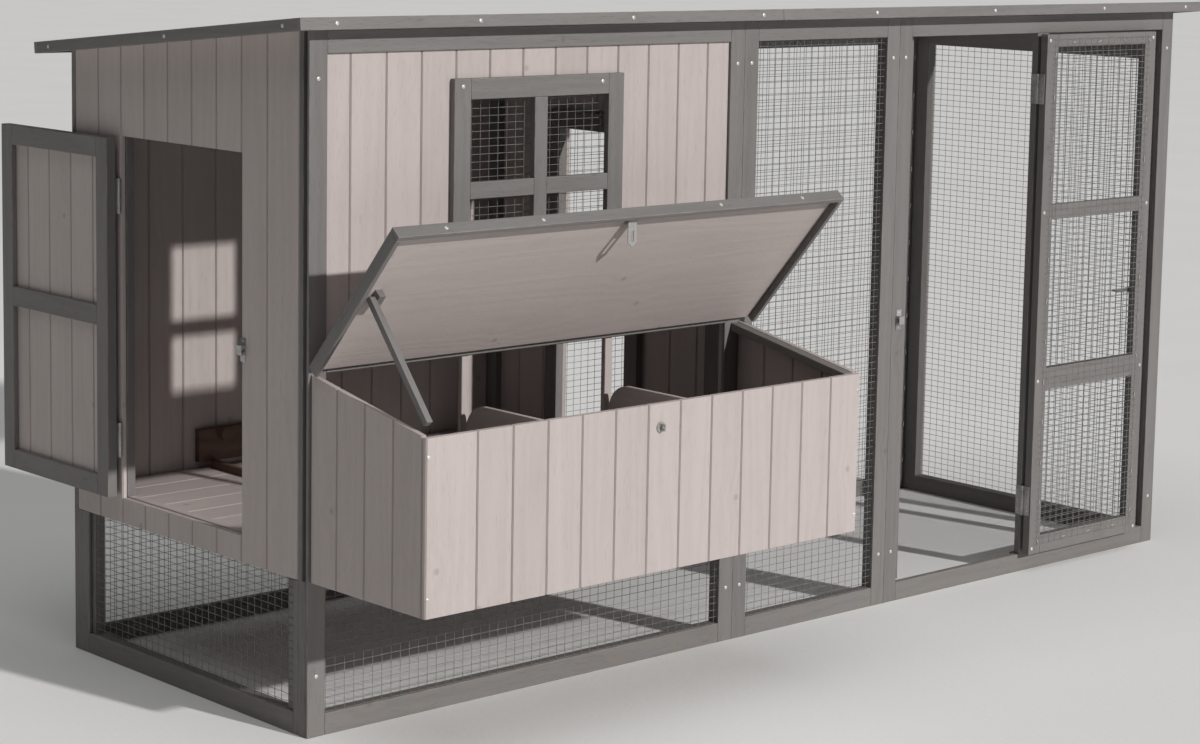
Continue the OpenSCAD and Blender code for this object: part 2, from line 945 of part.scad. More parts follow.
// Hinge leaves that are screwed to the frame
module fixed_hinge_leaves() {
    color(metal) {
        for (z = run_hinge_z)
            translate([run_pin_x, -pin_out, z])
                hinge_leaf(hinge_h, leaf_w, knuckle_r, edge_plate_x, [0, 2], [1]);
        for (z = end_hinge_z)
            translate([-pin_out, end_pin_y, z])
                hinge_leaf(hinge_h, leaf_w, knuckle_r, face_plate_x, [0, 2], [1]);
        for (x = lid_hinge_x)
            translate([x, lid_pin_y, lid_pin_z])
                rotate([90, 0, 90])
                    hinge_leaf(lid_hinge_l, leaf_w, lid_pin_r, lid_top_w, [0, 2], [1]);
    }
}

module hinge_pins() {
    color(metal) {
        for (z = run_hinge_z)
            translate([run_pin_x, -pin_out, z]) cylinder(r = pin_r, h = hinge_h);
        for (z = end_hinge_z)
            translate([-pin_out, end_pin_y, z]) cylinder(r = pin_r, h = hinge_h);
        for (x = lid_hinge_x)
            translate([x, lid_pin_y, lid_pin_z])
                rotate([0, 90, 0])
                    cylinder(r = pin_r, h = lid_hinge_l);
    }
}

module run_door_hinge_leaves() {
    color(metal)
        for (z = run_hinge_z)
            translate([run_pin_x, -pin_out, z])
                mirror([0, 1, 0])
                    hinge_leaf(hinge_h, leaf_w, knuckle_r, edge_plate_x, [1], [0, 2]);
}

module end_door_hinge_leaves() {
    color(metal)
        for (z = end_hinge_z)
            translate([-pin_out, end_pin_y, z])
                mirror([1, 0, 0])
                    hinge_leaf(hinge_h, leaf_w, knuckle_r, face_plate_x, [1], [0, 2]);
}

module lid_hinge_leaves() {
    color(metal)
        on_lid()
            for (x = lid_hinge_x)
                translate([x, 0, 0])
                    rotate([0, 90, 0])
                        rotate([0, 0, 180])
                            hinge_leaf(
                                lid_hinge_l, leaf_w + lid_leaf_extra, lid_pin_r, lid_top_w, [1], [0, 2]
                            );
}

// ---- Barrel bolts ----

plate_t = 1.2;
barrel_w = 12;
rod_under = 1;
rod_over = 1.3;
rod_lift = plate_t + rod_r + rod_under;
barrel_h = rod_lift + rod_r + rod_over;
barrel_l = 30;
rod_l = 70;
run_throw = 35;
end_throw = 20;

// Plate and two guides of a bolt: the rod slides along +X, the plate lies on Z = 0,
// and its front end is at X = 0
module bolt_barrel() {
    guide_l = 7;
    difference() {
        union() {
            translate([-barrel_l, -barrel_w, 0])
                cube([barrel_l, 2 * barrel_w, plate_t]);
            for (x = [-guide_l - 1, -barrel_l + 1])
                translate([x, -barrel_w / 2, 0])
                    cube([guide_l, barrel_w, barrel_h]);
        }
        translate([-barrel_l - 1, 0, rod_lift])
            rotate([0, 90, 0])
                cylinder(r = rod_r + run_fit, h = barrel_l + 2);
    }
}

// Rod with a round handle at its rear end
module bolt_rod() {
    grip_r = 2.2;
    grip_l = 12;
    translate([-rod_l, 0, rod_lift])
        rotate([0, 90, 0])
            cylinder(r = rod_r, h = rod_l);
    translate([-rod_l + rod_r, 0, rod_lift])
        cylinder(r = grip_r, h = grip_l);
}

eye_w = 14;

// Eye that the rod enters: its plate lies on Z = 0 and the rod comes along X
module bolt_keeper() {
    plate_l = 40;
    eye_l = 16;
    eye_clear = 0.6;
    difference() {
        union() {
            translate([-eye_w / 2, -plate_l / 2, 0]) cube([eye_w, plate_l, plate_t]);
            translate([-eye_w / 2, -eye_l / 2, 0]) cube([eye_w, eye_l, barrel_h]);
        }
        translate([-eye_w, 0, rod_lift])
            rotate([0, 90, 0])
                cylinder(r = rod_r + eye_clear, h = 2 * eye_w);
    }
}

keeper_reach = 8;
end_keeper_out = 10;

module bolt_keepers() {
    run_x = doorway_x0 + run_side_gap - run_throw + keeper_reach - eye_w / 2;
    end_y = end_door_y + end_gap - end_throw + keeper_reach + end_keeper_out - eye_w / 2;
    color(metal) {
        translate([run_x, 0, run_bolt_z]) rotate([90, 0, 0]) bolt_keeper();
        translate([0, end_y, end_bolt_z]) rotate([90, 0, -90]) bolt_keeper();
    }
}

// Place of the run door's bolt, on the face turned to the frame when it is open
module at_run_bolt() {
    translate([run_leaf_x1, run_leaf_y1, run_bolt_z])
        rotate([-90, 0, 0])
            children();
}

// Place of the end door's bolt
module at_end_bolt() {
    translate([end_leaf_x1, end_leaf_y1, end_bolt_z])
        rotate([90, 0, 90])
            children();
}

module run_bolt_barrel() {
    color(metal) at_run_bolt() bolt_barrel();
}

module run_bolt() {
    color(metal) at_run_bolt() bolt_rod();
}

module end_bolt_barrel() {
    color(metal) at_end_bolt() bolt_barrel();
}

module end_bolt() {
    color(metal) at_end_bolt() bolt_rod();
}

// ---- Run door ----

module run_door_frame() {
    top = 25;
    foot = 37;
    y = [run_leaf_y0 + mesh_t, run_leaf_y1];
    x = [run_leaf_x0 + batten_w + joint_gap, run_leaf_x1 - batten_w - joint_gap];
    color(trim_grey) {
        block([run_leaf_x0, run_leaf_x0 + batten_w], y, [run_door_z0, run_door_z1]);
        block([run_leaf_x1 - batten_w, run_leaf_x1], y, [run_door_z0, run_door_z1]);
        block(x, y, [run_door_z0, run_door_z0 + foot]);
        block(x, y, [run_rail_low_z, run_rail_low_z + run_rail_low_h]);
        block(x, y, [run_rail_high_z, run_rail_high_z + run_rail_high_h]);
        block(x, y, [run_door_z1 - top, run_door_z1]);
    }
}

module run_door_mesh() {
    edge = 18;
    color(wire_grey)
        block(
            [run_leaf_x0 + edge, run_leaf_x1 - edge],
            [run_leaf_y0, run_leaf_y0 + mesh_t],
            [run_door_z0 + edge, run_door_z1 - edge / 2]
        );
}

// ---- End door ----

module end_door_frame() {
    x = [end_leaf_x0, end_leaf_x1];
    y = [end_leaf_y0 + batten_w + joint_gap, end_leaf_y1 - batten_w - joint_gap];
    z = [end_leaf_z0, end_leaf_z1];
    color(trim_grey)
        difference() {
            union() {
                block(x, [end_leaf_y0, end_leaf_y0 + batten_w], z);
                block(x, [end_leaf_y1 - batten_w, end_leaf_y1], z);
                block(x, y, [z[0], z[0] + batten_w]);
                block(x, y, [z[0] + end_rail_z, z[0] + end_rail_z + batten_w]);
                block(x, y, [z[1] - batten_w, z[1]]);
            }
            end_door_board_space(0);
        }
}

end_board_lap = 10;

// Space of the boards inside the end door, let into its frame
module end_door_board_space(gap) {
    in = batten_w - end_board_lap + gap;
    face = 3;
    block(
        [end_leaf_x1 - board_t / 2 - face, end_leaf_x1 - face - gap],
        [end_leaf_y0 + in, end_leaf_y1 - in],
        [end_leaf_z0 + in, end_leaf_z1 - in]
    );
}

module end_door_boards() {
    y0 = end_leaf_y0 + batten_w - end_board_lap;
    y1 = end_leaf_y1 - batten_w + end_board_lap;
    color(board_light)
        intersection() {
            end_door_board_space(joint_gap / 3);
            boards_y(
                [end_leaf_x0, end_leaf_x1],
                board_edges(y0, y1, y0 + board_pitch / 2),
                [end_leaf_z0, end_leaf_z1]
            );
        }
}

// ---- Nest lid ----

module lid_panel() {
    in = lid_rim_t + joint_gap / 3;
    color(board_light)
        on_lid()
            lid_block(
                [lid_x0 + in, lid_x1 - in],
                [lid_start, lid_l - in],
                [lid_under_w, lid_top_w]
            );
}

module lid_rim() {
    w = [lid_top_w - lid_rim_h, lid_top_w];
    end_u = lid_l - lid_rim_t - joint_gap;
    color(trim_grey)
        on_lid() {
            lid_block([lid_x0, lid_x1], [lid_l - lid_rim_t, lid_l], w);
            for (x = [lid_x0, lid_x1 - lid_rim_t])
                lid_block([x, x + lid_rim_t], [lid_start, end_u], w);
        }
}

// Block under the lid that carries the stay
module stay_cleat() {
    cleat_w = 12;
    cleat_l = 26;
    below_pin = 6;
    x = stay_x + stay_w / 2 + pass_gap;
    color(trim_grey)
        on_lid() {
            lid_block(
                [x, x + cleat_w],
                [stay_head_u - cleat_l / 2, stay_head_u + cleat_l / 2],
                [stay_head_w - below_pin, lid_under_w]
            );
            translate([x - stay_w - pass_gap, -stay_head_u, stay_head_w])
                rotate([0, 90, 0])
                    cylinder(r = stay_pin_r, h = stay_w + pass_gap + cleat_w / 2);
        }
}

// Square stay that holds the lid up, with its foot cut level
module lid_stay() {
    color(trim_grey)
        translate([stay_x - stay_w / 2, stay_head[0], stay_head[1]])
            rotate([stay_angle, 0, 0])
                difference() {
                    union() {
                        translate([0, 0, -stay_w / 2]) cube([stay_w, stay_l, stay_w]);
                        rotate([0, 90, 0]) cylinder(r = stay_w / 2, h = stay_w);
                    }
                    translate([-1, 0, 0])
                        rotate([0, 90, 0])
                            cylinder(r = stay_pin_r + run_fit, h = stay_w + 2);
                }
}

// ---- Hasp and staple ----

hasp_pin_r = 1.2;
hasp_eye_r = 2.6;

// Plate of the hasp under the lid, with the two outer eyes and the pin
module hasp_plate() {
    plate_l = 12;
    eye = hasp_w / 3;
    color(metal)
        on_lid() {
            lid_block(
                [hasp_x - hasp_w / 2, hasp_x + hasp_w / 2],
                [hasp_u - plate_l, hasp_u - hasp_eye_r - 1],
                [lid_under_w - hasp_t, lid_under_w]
            );
            for (x = [hasp_x - hasp_w / 2, hasp_x + hasp_w / 2 - eye])
                translate([x, -hasp_u, hasp_w_off])
                    rotate([0, 90, 0])
                        cylinder(r = hasp_eye_r, h = eye - pass_gap);
            for (x = [hasp_x - hasp_w / 2, hasp_x + hasp_w / 2 - eye])
                lid_block(
                    [x, x + eye - pass_gap],
                    [hasp_u - hasp_eye_r - 2, hasp_u],
                    [lid_under_w - hasp_t, lid_under_w]
                );
            translate([hasp_x - hasp_w / 2, -hasp_u, hasp_w_off])
                rotate([0, 90, 0])
                    cylinder(r = hasp_pin_r, h = hasp_w);
        }
}

// Slotted strap that hangs straight down from the hasp's pin
module hasp_strap() {
    at = lid_point(hasp_u, hasp_w_off);
    eye = hasp_w / 3 - pass_gap;
    tip = 8;
    neck = 1.2;
    slot_w = 6;
    slot_l = 18;
    slot_z = -hasp_l + tip + 1;
    color(metal)
        translate([hasp_x, at[0], at[1]])
            difference() {
                union() {
                    translate([-eye / 2, 0, 0])
                        rotate([0, 90, 0])
                            cylinder(r = hasp_eye_r, h = eye);
                    translate([-eye / 2, -hasp_t / 2, -hasp_eye_r - 2 * neck])
                        cube([eye, hasp_t, hasp_eye_r + 2 * neck]);
                    rotate([90, 0, 0])
                        translate([0, 0, -hasp_t / 2])
                            linear_extrude(hasp_t)
                                polygon([
                                    [-hasp_w / 2, -hasp_eye_r - neck],
                                    [hasp_w / 2, -hasp_eye_r - neck],
                                    [hasp_w / 2, -hasp_l + tip],
                                    [0, -hasp_l],
                                    [-hasp_w / 2, -hasp_l + tip]
                                ]);
                }
                rotate([0, 90, 0])
                    translate([0, 0, -hasp_w])
                        cylinder(r = hasp_pin_r + run_fit, h = 2 * hasp_w);
                translate([-slot_w / 2, -hasp_t, slot_z])
                    cube([slot_w, 2 * hasp_t, slot_l]);
            }
}

staple_plate_t = 2;
staple_shank_r = 1.6;

// Round plate on the nest front, with the hole that the staple turns in
module staple_plate() {
    plate_r = 9;
    color(metal)
        translate([hasp_x, -nest_d, staple_z])
            rotate([90, 0, 0])
                difference() {
                    cylinder(r = plate_r, h = staple_plate_t);
                    translate([0, 0, -1])
                        cylinder(r = staple_shank_r + run_fit, h = staple_plate_t + 2);
                }
}

// Flat staple with an eye, on a shank that turns in its plate
module nest_staple() {
    eye_z = 11;
    eye_t = 2.4;
    eye_r = 2.4;
    eye_in = 4.4;
    lift = staple_plate_t + pass_gap;
    color(metal)
        translate([hasp_x, -nest_d, staple_z])
            rotate([90, 0, 0]) {
                cylinder(r = staple_shank_r, h = lift + 1);
                difference() {
                    translate([-eye_t / 2, -eye_z / 2, lift])
                        cube([eye_t, eye_z, staple_out - lift]);
                    translate([-eye_t, 0, staple_out - eye_in])
                        rotate([0, 90, 0])
                            cylinder(r = eye_r, h = 2 * eye_t);
                }
            }
}

// ---- Screws ----

screw_r = 3.4;
screw_h = 1.1;

// A domed screw head that stands out along +Z
module screw_head() {
    cylinder(r = screw_r, h = screw_h / 2);
    translate([0, 0, screw_h / 2]) cylinder(r1 = screw_r, r2 = screw_r * 0.6, h = screw_h / 2);
}

// Screw heads on a face that looks to the front
module front_screws(points, y) {
    for (p = points)
        translate([p[0], y, p[1]]) rotate([90, 0, 0]) screw_head();
}

module coop_screws() {
    span = coop_l + 2 * roof_end_over;
    fascia_w = fascia_h / 2 - roof_lip;
    color(metal) {
        on_roof() {
            for (f = [0.03, 0.154, 0.299, 0.435, 0.564, 0.71, 0.857, 0.975])
                translate([roof_x[0] + f * span, roof_y[0], fascia_w])
                    rotate([90, 0, 0])
                        screw_head();
            for (f = [0.06, 0.48, 0.94])
                for (side = [0, 1])
                    translate([
                        roof_x[side],
                        roof_y[0] + f * (roof_y[1] - roof_y[0]),
                        fascia_w
                    ])
                        rotate([0, 180 * side - 90, 0])
                            screw_head();
        }
        front_screws(
            [for (s = stile_x) for (z = [100, front_h - 75]) [(s[0] + s[1]) / 2, z]], 0
        );
        front_screws(
            [for (x = [window_x + 18, window_x + window_w - 50])
                for (z = [window_z + 13, window_z + window_h - 13]) [x, z]],
            trim_t - window_t
        );
        front_screws(
            [for (x = [nest_x + board_t / 2, nest_x1 - board_t / 2])
                for (z = [wall_bottom_z + 30, nest_front_z - 30]) [x, z]],
            -nest_d
        );
    }
}

module door_screws() {
    y = run_leaf_y0;
    color(metal)
        front_screws(
            [for (x = [run_leaf_x0 + 9, run_leaf_x1 - 9])
                for (z = [run_door_z0 + 12, run_rail_low_z + 20, run_rail_high_z + 15,
                    run_door_z1 - 12]) [x, z]],
            y + mesh_t
        );
}

// Screw heads along the underside of the lid
module lid_screws() {
    color(metal)
        on_lid()
            for (f = [0.1, 0.3, 0.7, 0.9])
                translate([
                    lid_x0 + f * (lid_x1 - lid_x0),
                    -lid_l,
                    lid_top_w - lid_rim_h / 2
                ])
                    rotate([90, 0, 0])
                        screw_head();
}

module place() {
    translate([-origin_x, -origin_y, 0]) children();
}

place() front_trim();
place() front_battens();
place() house_front_boards();
place() window_frame();
place() window_mesh();
place() front_mesh();
place() nest_posts();
place() door_jamb();
place() door_stop();
place() end_trim();
place() end_battens();
place() end_boards();
place() end_mesh();
place() end_sill();
place() back_frame();
place() back_boards();
place() back_mesh();
place() run_end_trim();
place() run_end_battens();
place() run_end_mesh();
place() partition_battens();
place() partition_boards();
place() floor_boards();
place() floor_bearers();
place() floor_strip();
place() wall_block();
place() roof_deck();
place() roof_felt();
place() roof_fascia();
place() nest_front();
place() nest_sides();
place() nest_floor();
place() nest_dividers();
place() nest_rim();
place() fixed_hinge_leaves();
place() hinge_pins();
place() bolt_keepers();
place() coop_screws();
place() staple_plate();
place() run_door_frame();
place() run_door_mesh();
place() run_door_hinge_leaves();
place() run_bolt_barrel();
place() run_bolt();
place() end_door_frame();
place() end_door_boards();
place() end_door_hinge_leaves();
place() end_bolt_barrel();
place() end_bolt();
place() lid_panel();
place() lid_rim();
place() lid_hinge_leaves();
place() stay_cleat();
place() hasp_plate();
place() hasp_strap();
place() lid_stay();
place() nest_staple();
place() door_screws();
place() lid_screws();
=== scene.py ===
import json
import math
import random

import bmesh
import bpy
from mathutils import Matrix, Vector

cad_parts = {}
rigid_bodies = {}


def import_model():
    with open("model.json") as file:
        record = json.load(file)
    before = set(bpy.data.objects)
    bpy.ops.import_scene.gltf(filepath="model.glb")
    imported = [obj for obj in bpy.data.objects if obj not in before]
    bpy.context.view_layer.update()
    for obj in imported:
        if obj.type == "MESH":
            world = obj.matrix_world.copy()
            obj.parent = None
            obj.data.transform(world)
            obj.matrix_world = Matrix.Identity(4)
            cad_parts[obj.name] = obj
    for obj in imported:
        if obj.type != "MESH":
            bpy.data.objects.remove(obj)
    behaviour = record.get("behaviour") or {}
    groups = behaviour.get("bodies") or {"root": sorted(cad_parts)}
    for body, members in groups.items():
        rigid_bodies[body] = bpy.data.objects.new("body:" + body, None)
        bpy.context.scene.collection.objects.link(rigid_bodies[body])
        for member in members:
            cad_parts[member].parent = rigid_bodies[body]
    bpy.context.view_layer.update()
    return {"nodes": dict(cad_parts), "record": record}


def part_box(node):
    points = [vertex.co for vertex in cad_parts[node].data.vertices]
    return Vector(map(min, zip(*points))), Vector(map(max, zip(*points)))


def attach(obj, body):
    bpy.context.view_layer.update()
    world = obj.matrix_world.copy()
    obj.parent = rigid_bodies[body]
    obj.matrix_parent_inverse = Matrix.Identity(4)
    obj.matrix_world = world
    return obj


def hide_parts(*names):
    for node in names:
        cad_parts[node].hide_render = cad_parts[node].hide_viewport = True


for leftover in list(bpy.data.objects):
    bpy.data.objects.remove(leftover)
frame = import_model()

# ---- Sizes, in metres ----

# Points closer than the first are one point, and places closer than the second are level
MERGE_DISTANCE = 0.00001
LEVEL = 0.0001
# How far edges are rounded off
TRIM_ROUND = 0.0012
BOARD_GROOVE = 0.0022
BOARD_END_ROUND = 0.0005
METAL_ROUND = 0.0002
# Welded net: the wire, how far it wanders, and one cell
WIRE_RADIUS = 0.0005
WIRE_WAVE = 0.0002
CELL_WIDE = 0.01905
CELL_TALL = 0.0127
# Staples that hold the nets
STAPLE_SPACING = 0.085
STAPLE_CROWN = 0.0095
STAPLE_WIRE = 0.0011
STAPLE_INSET = 0.007
STAPLE_LEG = 0.004
STAPLE_TURN = math.radians(24)
# Radii of the screw heads on hinge leaves and on bolt plates
LEAF_SCREW = 0.0026
PLATE_SCREW = 0.0024
# Height of a screw head and how far a sunk one stands out, as shares of its radius
HEAD_TALL = 0.32
LEAF_SCREW_PROUD = 0.04
# Screw places along a plate, as shares of its length from its middle
LEAF_SPOTS = (-0.34, 0.0, 0.34)
LID_SPOTS = (-0.3, 0.3)
PLATE_SPOTS = (-0.36, 0.36)
# How far the screws of a leaf lie from its middle line, as a share of its width
LEAF_AWAY = 0.16

# ---- Material helpers ----


def add(tree, kind, inputs=None, **settings):
    """A new node, with its settings and with each input set to a value or linked to a socket."""
    made = tree.nodes.new(kind)
    for key, value in settings.items():
        setattr(made, key, value)
    for key, value in (inputs or {}).items():
        if isinstance(value, bpy.types.NodeSocket):
            tree.links.new(value, made.inputs[key])
        else:
            made.inputs[key].default_value = value
    return made


def empty_material(name):
    """A material with no nodes yet."""
    made = bpy.data.materials.new(name)
    made.use_nodes = True
    made.node_tree.nodes.clear()
    return made


def stretched(tree, vector, scale):
    """A coordinate multiplied along each axis."""
    return add(
        tree, "ShaderNodeVectorMath", {0: vector, 1: scale}, operation="MULTIPLY"
    ).outputs[0]


def noise(tree, vector, scale, detail=3.0, rough=0.5, twist=0.0):
    """The value of a noise pattern."""
    return add(
        tree,
        "ShaderNodeTexNoise",
        {
            "Vector": vector,
            "Scale": scale,
            "Detail": detail,
            "Roughness": rough,
            "Distortion": twist,
        },
    ).outputs[0]


def between(tree, value, low, high, out_low=0.0, out_high=1.0):
    """A value mapped from one range to another, and held inside it."""
    return add(
        tree,
        "ShaderNodeMapRange",
        {"Value": value, "From Min": low, "From Max": high, "To Min": out_low, "To Max": out_high},
    ).outputs[0]


def times(tree, a, b):
    """The product of two values."""
    return add(tree, "ShaderNodeMath", {0: a, 1: b}, operation="MULTIPLY").outputs[0]


def plus(tree, a, b):
    """The sum of two values."""
    return add(tree, "ShaderNodeMath", {0: a, 1: b}, operation="ADD").outputs[0]


def blend_colour(tree, share, a, b):
    """Colour a turning into colour b as share goes from 0 to 1."""
    made = add(tree, "ShaderNodeMix", {"Factor": share}, data_type="RGBA")
    for index, value in ((6, a), (7, b)):
        if isinstance(value, bpy.types.NodeSocket):
            tree.links.new(value, made.inputs[index])
        else:
            made.inputs[index].default_value = (*value, 1.0)
    return made.outputs[2]


def close_material(tree, colour, roughness, height, depth, metallic=0.0):
    """The shader itself, with its colour, roughness and bump."""
    bump = add(tree, "ShaderNodeBump", {"Height": height, "Strength": 1.0, "Distance": depth})
    surface = add(
        tree,
        "ShaderNodeBsdfPrincipled",
        {
            "Base Color": colour,
            "Roughness": roughness,
            "Normal": bump.outputs[0],
            "Metallic": metallic,
        },
    )
    add(tree, "ShaderNodeOutputMaterial", {"Surface": surface.outputs[0]})


# ---- Materials ----


def timber_material(name, base, shade, bare, knot, ring_share, wear, painted_groove_shade, relief):
    """Stained or painted softwood. Its grain runs along the first number of the attribute grain."""
    made = empty_material(name)
    tree = made.node_tree
    grain = add(tree, "ShaderNodeAttribute", attribute_name="grain").outputs["Vector"]
    tint = add(tree, "ShaderNodeAttribute", attribute_name="tint").outputs["Fac"]
    edge = add(tree, "ShaderNodeAttribute", attribute_name="edge").outputs["Fac"]

    # Knots, with the grain bending round them
    flat = add(tree, "ShaderNodeSeparateXYZ", {0: grain})
    face = add(tree, "ShaderNodeCombineXYZ", {0: flat.outputs[0], 1: flat.outputs[1]}).outputs[0]
    cell = add(
        tree, "ShaderNodeTexVoronoi", {"Vector": face, "Scale": 3.6}, voronoi_dimensions="2D"
    ).outputs["Distance"]
    near_knot = between(tree, cell, 0.0, 0.16, 1.0, 0.0)
    in_knot = between(tree, cell, 0.010, 0.026, 1.0, 0.0)

    # Growth rings, cut lengthwise into long wandering bands
    bend = stretched(tree, grain, (1.6, 16.0, 16.0))
    wander = noise(tree, bend, 1.0, 2.0, 0.5, 0.4)
    across = plus(tree, times(tree, flat.outputs[1], 210.0), times(tree, wander, 26.0))
    across = plus(tree, across, times(tree, near_knot, 5.0))
    ring = add(tree, "ShaderNodeMath", {0: across}, operation="SINE").outputs[0]
    ring = between(tree, ring, -1.0, 1.0)

    # Fine fibres and short dark flecks
    fibre = noise(tree, stretched(tree, grain, (14.0, 620.0, 620.0)), 1.0, 4.0, 0.62)
    fleck_field = noise(tree, stretched(tree, grain, (46.0, 760.0, 760.0)), 1.0, 2.0, 0.5)
    fleck = between(tree, fleck_field, 0.60, 0.74)
    cloud = noise(tree, stretched(tree, grain, (2.2, 7.0, 7.0)), 1.0, 3.0, 0.55)

    dark = plus(tree, times(tree, ring, ring_share), times(tree, fibre, 0.30))
    dark = plus(tree, dark, times(tree, fleck, 0.40))
    dark = plus(tree, dark, between(tree, cloud, 0.3, 0.7, -0.16, 0.16))
    dark = plus(tree, dark, between(tree, tint, 0.0, 1.0, -0.12, 0.12))
    dark = between(tree, dark, 0.05, 0.95)
    colour = blend_colour(tree, dark, base, shade)
    colour = blend_colour(tree, times(tree, in_knot, 0.34), colour, knot)
    # Painted shade: the faces marked edge (the rounded groove and end faces) are darkened towards
    # the knot colour, standing in for shadow in the board grooves
    colour = blend_colour(tree, times(tree, edge, painted_groove_shade), colour, knot)
    rub = between(tree, noise(tree, stretched(tree, grain, (30.0, 90.0, 90.0)), 1.0), 0.42, 0.66)
    colour = blend_colour(tree, times(tree, times(tree, edge, rub), wear), colour, bare)

    # Splash marks near the ground
    place = add(tree, "ShaderNodeTexCoord").outputs["Object"]
    rise = add(tree, "ShaderNodeSeparateXYZ", {0: place}).outputs[2]
    low = between(tree, rise, 0.0, 0.13, 1.0, 0.0)
    splash = between(tree, noise(tree, place, 38.0, 4.0, 0.6), 0.42, 0.7)
    splash = times(tree, times(tree, low, splash), 0.35)
    colour = blend_colour(tree, splash, colour, (0.21, 0.17, 0.13))

    rough = plus(tree, between(tree, fibre, 0.3, 0.7, 0.50, 0.66), times(tree, fleck, 0.12))
    height = plus(tree, times(tree, fibre, -0.75), times(tree, fleck, -0.8))
    height = plus(tree, height, times(tree, ring, -0.30))
    height = plus(tree, height, times(tree, in_knot, 0.45))
    close_material(tree, colour, rough, height, relief)
    return made


def felt_material():
    """Roofing felt with pressed-in mineral grains."""
    made = empty_material("mineral_felt")
    tree = made.node_tree
    place = add(tree, "ShaderNodeTexCoord").outputs["Object"]
    grit = add(tree, "ShaderNodeTexVoronoi", {"Vector": place, "Scale": 520.0})
    speck = add(tree, "ShaderNodeSeparateColor", {0: grit.outputs["Color"]}).outputs[0]
    cloud = noise(tree, place, 6.0, 4.0, 0.6)
    colour = blend_colour(tree, speck, (0.045, 0.046, 0.050), (0.165, 0.165, 0.172))
    dust = between(tree, cloud, 0.35, 0.7, 0.0, 0.45)
    colour = blend_colour(tree, dust, colour, (0.12, 0.118, 0.112))
    height = plus(tree, times(tree, grit.outputs["Distance"], -1.0), times(tree, cloud, 0.8))
    close_material(tree, colour, between(tree, speck, 0.0, 1.0, 0.78, 0.95), height, 0.0009)
    return made


def zinc_material(name, bright, dull, rough_low, rough_high, metallic):
    """Zinc plate on steel, with faint crystals and a few dull patches."""
    made = empty_material(name)
    tree = made.node_tree
    place = add(tree, "ShaderNodeTexCoord").outputs["Object"]
    crystal = add(tree, "ShaderNodeTexVoronoi", {"Vector": place, "Scale": 330.0}).outputs["Color"]
    facet = add(tree, "ShaderNodeSeparateColor", {0: crystal}).outputs[0]
    patch = between(tree, noise(tree, place, 55.0, 4.0, 0.6), 0.38, 0.66)
    share = plus(tree, times(tree, facet, 0.35), times(tree, patch, 0.65))
    colour = blend_colour(tree, share, bright, dull)
    scratch = noise(tree, stretched(tree, place, (900.0, 900.0, 120.0)), 1.0, 2.0)
    rough = between(tree, share, 0.0, 1.0, rough_low, rough_high)
    rough = plus(tree, rough, times(tree, scratch, 0.08))
    height = plus(tree, times(tree, patch, 0.4), scratch)
    close_material(tree, colour, rough, height, 0.00006, metallic)
    return made


def wire_material():
    """Grey coated wire, with small runs of coating."""
    made = empty_material("wire_coating")
    tree = made.node_tree
    place = add(tree, "ShaderNodeTexCoord").outputs["Object"]
    patch = noise(tree, place, 70.0, 4.0, 0.6)
    drip = noise(tree, place, 640.0, 2.0, 0.5)
    share = between(tree, patch, 0.35, 0.65)
    colour = blend_colour(tree, share, (0.13, 0.13, 0.127), (0.22, 0.22, 0.215))
    close_material(tree, colour, between(tree, drip, 0.3, 0.7, 0.38, 0.58), drip, 0.00012)
    return made


def floor_material():
    """Plain pale studio floor with a barely uneven tone."""
    made = empty_material("pale_floor")
    tree = made.node_tree
    place = add(tree, "ShaderNodeTexCoord").outputs["Object"]
    cloud = noise(tree, place, 1.3, 3.0, 0.5)
    share = between(tree, cloud, 0.3, 0.7)
    colour = blend_colour(tree, share, (0.78, 0.778, 0.77), (0.81, 0.808, 0.80))
    close_material(tree, colour, 0.85, noise(tree, place, 90.0), 0.0004)
    return made


TRIM = timber_material(
    "grey_trim_paint",
    base=(0.178, 0.169, 0.163),
    shade=(0.122, 0.115, 0.111),
    bare=(0.34, 0.30, 0.26),
    knot=(0.075, 0.068, 0.064),
    ring_share=0.22,
    wear=0.40,
    painted_groove_shade=0.0,
    relief=0.00035,
)
# The boards take painted shade on their groove faces
BOARD = timber_material(
    "pale_board_stain",
    base=(0.475, 0.420, 0.402),
    shade=(0.372, 0.322, 0.306),
    bare=(0.52, 0.46, 0.42),
    knot=(0.17, 0.135, 0.122),
    ring_share=0.16,
    wear=0.16,
    painted_groove_shade=0.34,
    relief=0.00030,
)
BROWN = timber_material(
    "brown_block_stain",
    base=(0.135, 0.075, 0.052),
    shade=(0.050, 0.026, 0.020),
    bare=(0.26, 0.16, 0.10),
    knot=(0.03, 0.015, 0.012),
    ring_share=0.34,
    wear=0.5,
    painted_groove_shade=0.0,
    relief=0.00030,
)
FELT = felt_material()
ZINC = zinc_material("zinc_plate", (0.52, 0.52, 0.51), (0.34, 0.34, 0.33), 0.36, 0.54, 0.9)
SCREW_ZINC = zinc_material("screw_zinc", (0.72, 0.71, 0.69), (0.50, 0.49, 0.47), 0.34, 0.5, 0.35)
WIRE = wire_material()

SLOT_MATERIAL = {
    "trim_paint": TRIM,
    "board_wash": BOARD,
    "brown_wood": BROWN,
    "roof_felt": FELT,
    "galvanised": ZINC,
    "coated_wire": WIRE,
}
SLOT_OF = {part["node"]: part["material_slot"] for part in frame["record"]["subparts"]}
BODY_OF = {
    node: body
    for body, nodes in frame["record"]["behaviour"]["bodies"].items()
    for node in nodes
}

# ---- Mesh helpers ----


def new_piece(name, mesh, body, replaced=()):
    """A finished piece that rides on a body, and hides the nodes that it replaces."""
    made = bpy.data.objects.new(name, mesh)
    bpy.context.scene.collection.objects.link(made)
    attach(made, body)
    if replaced:
        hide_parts(*replaced)
    return made


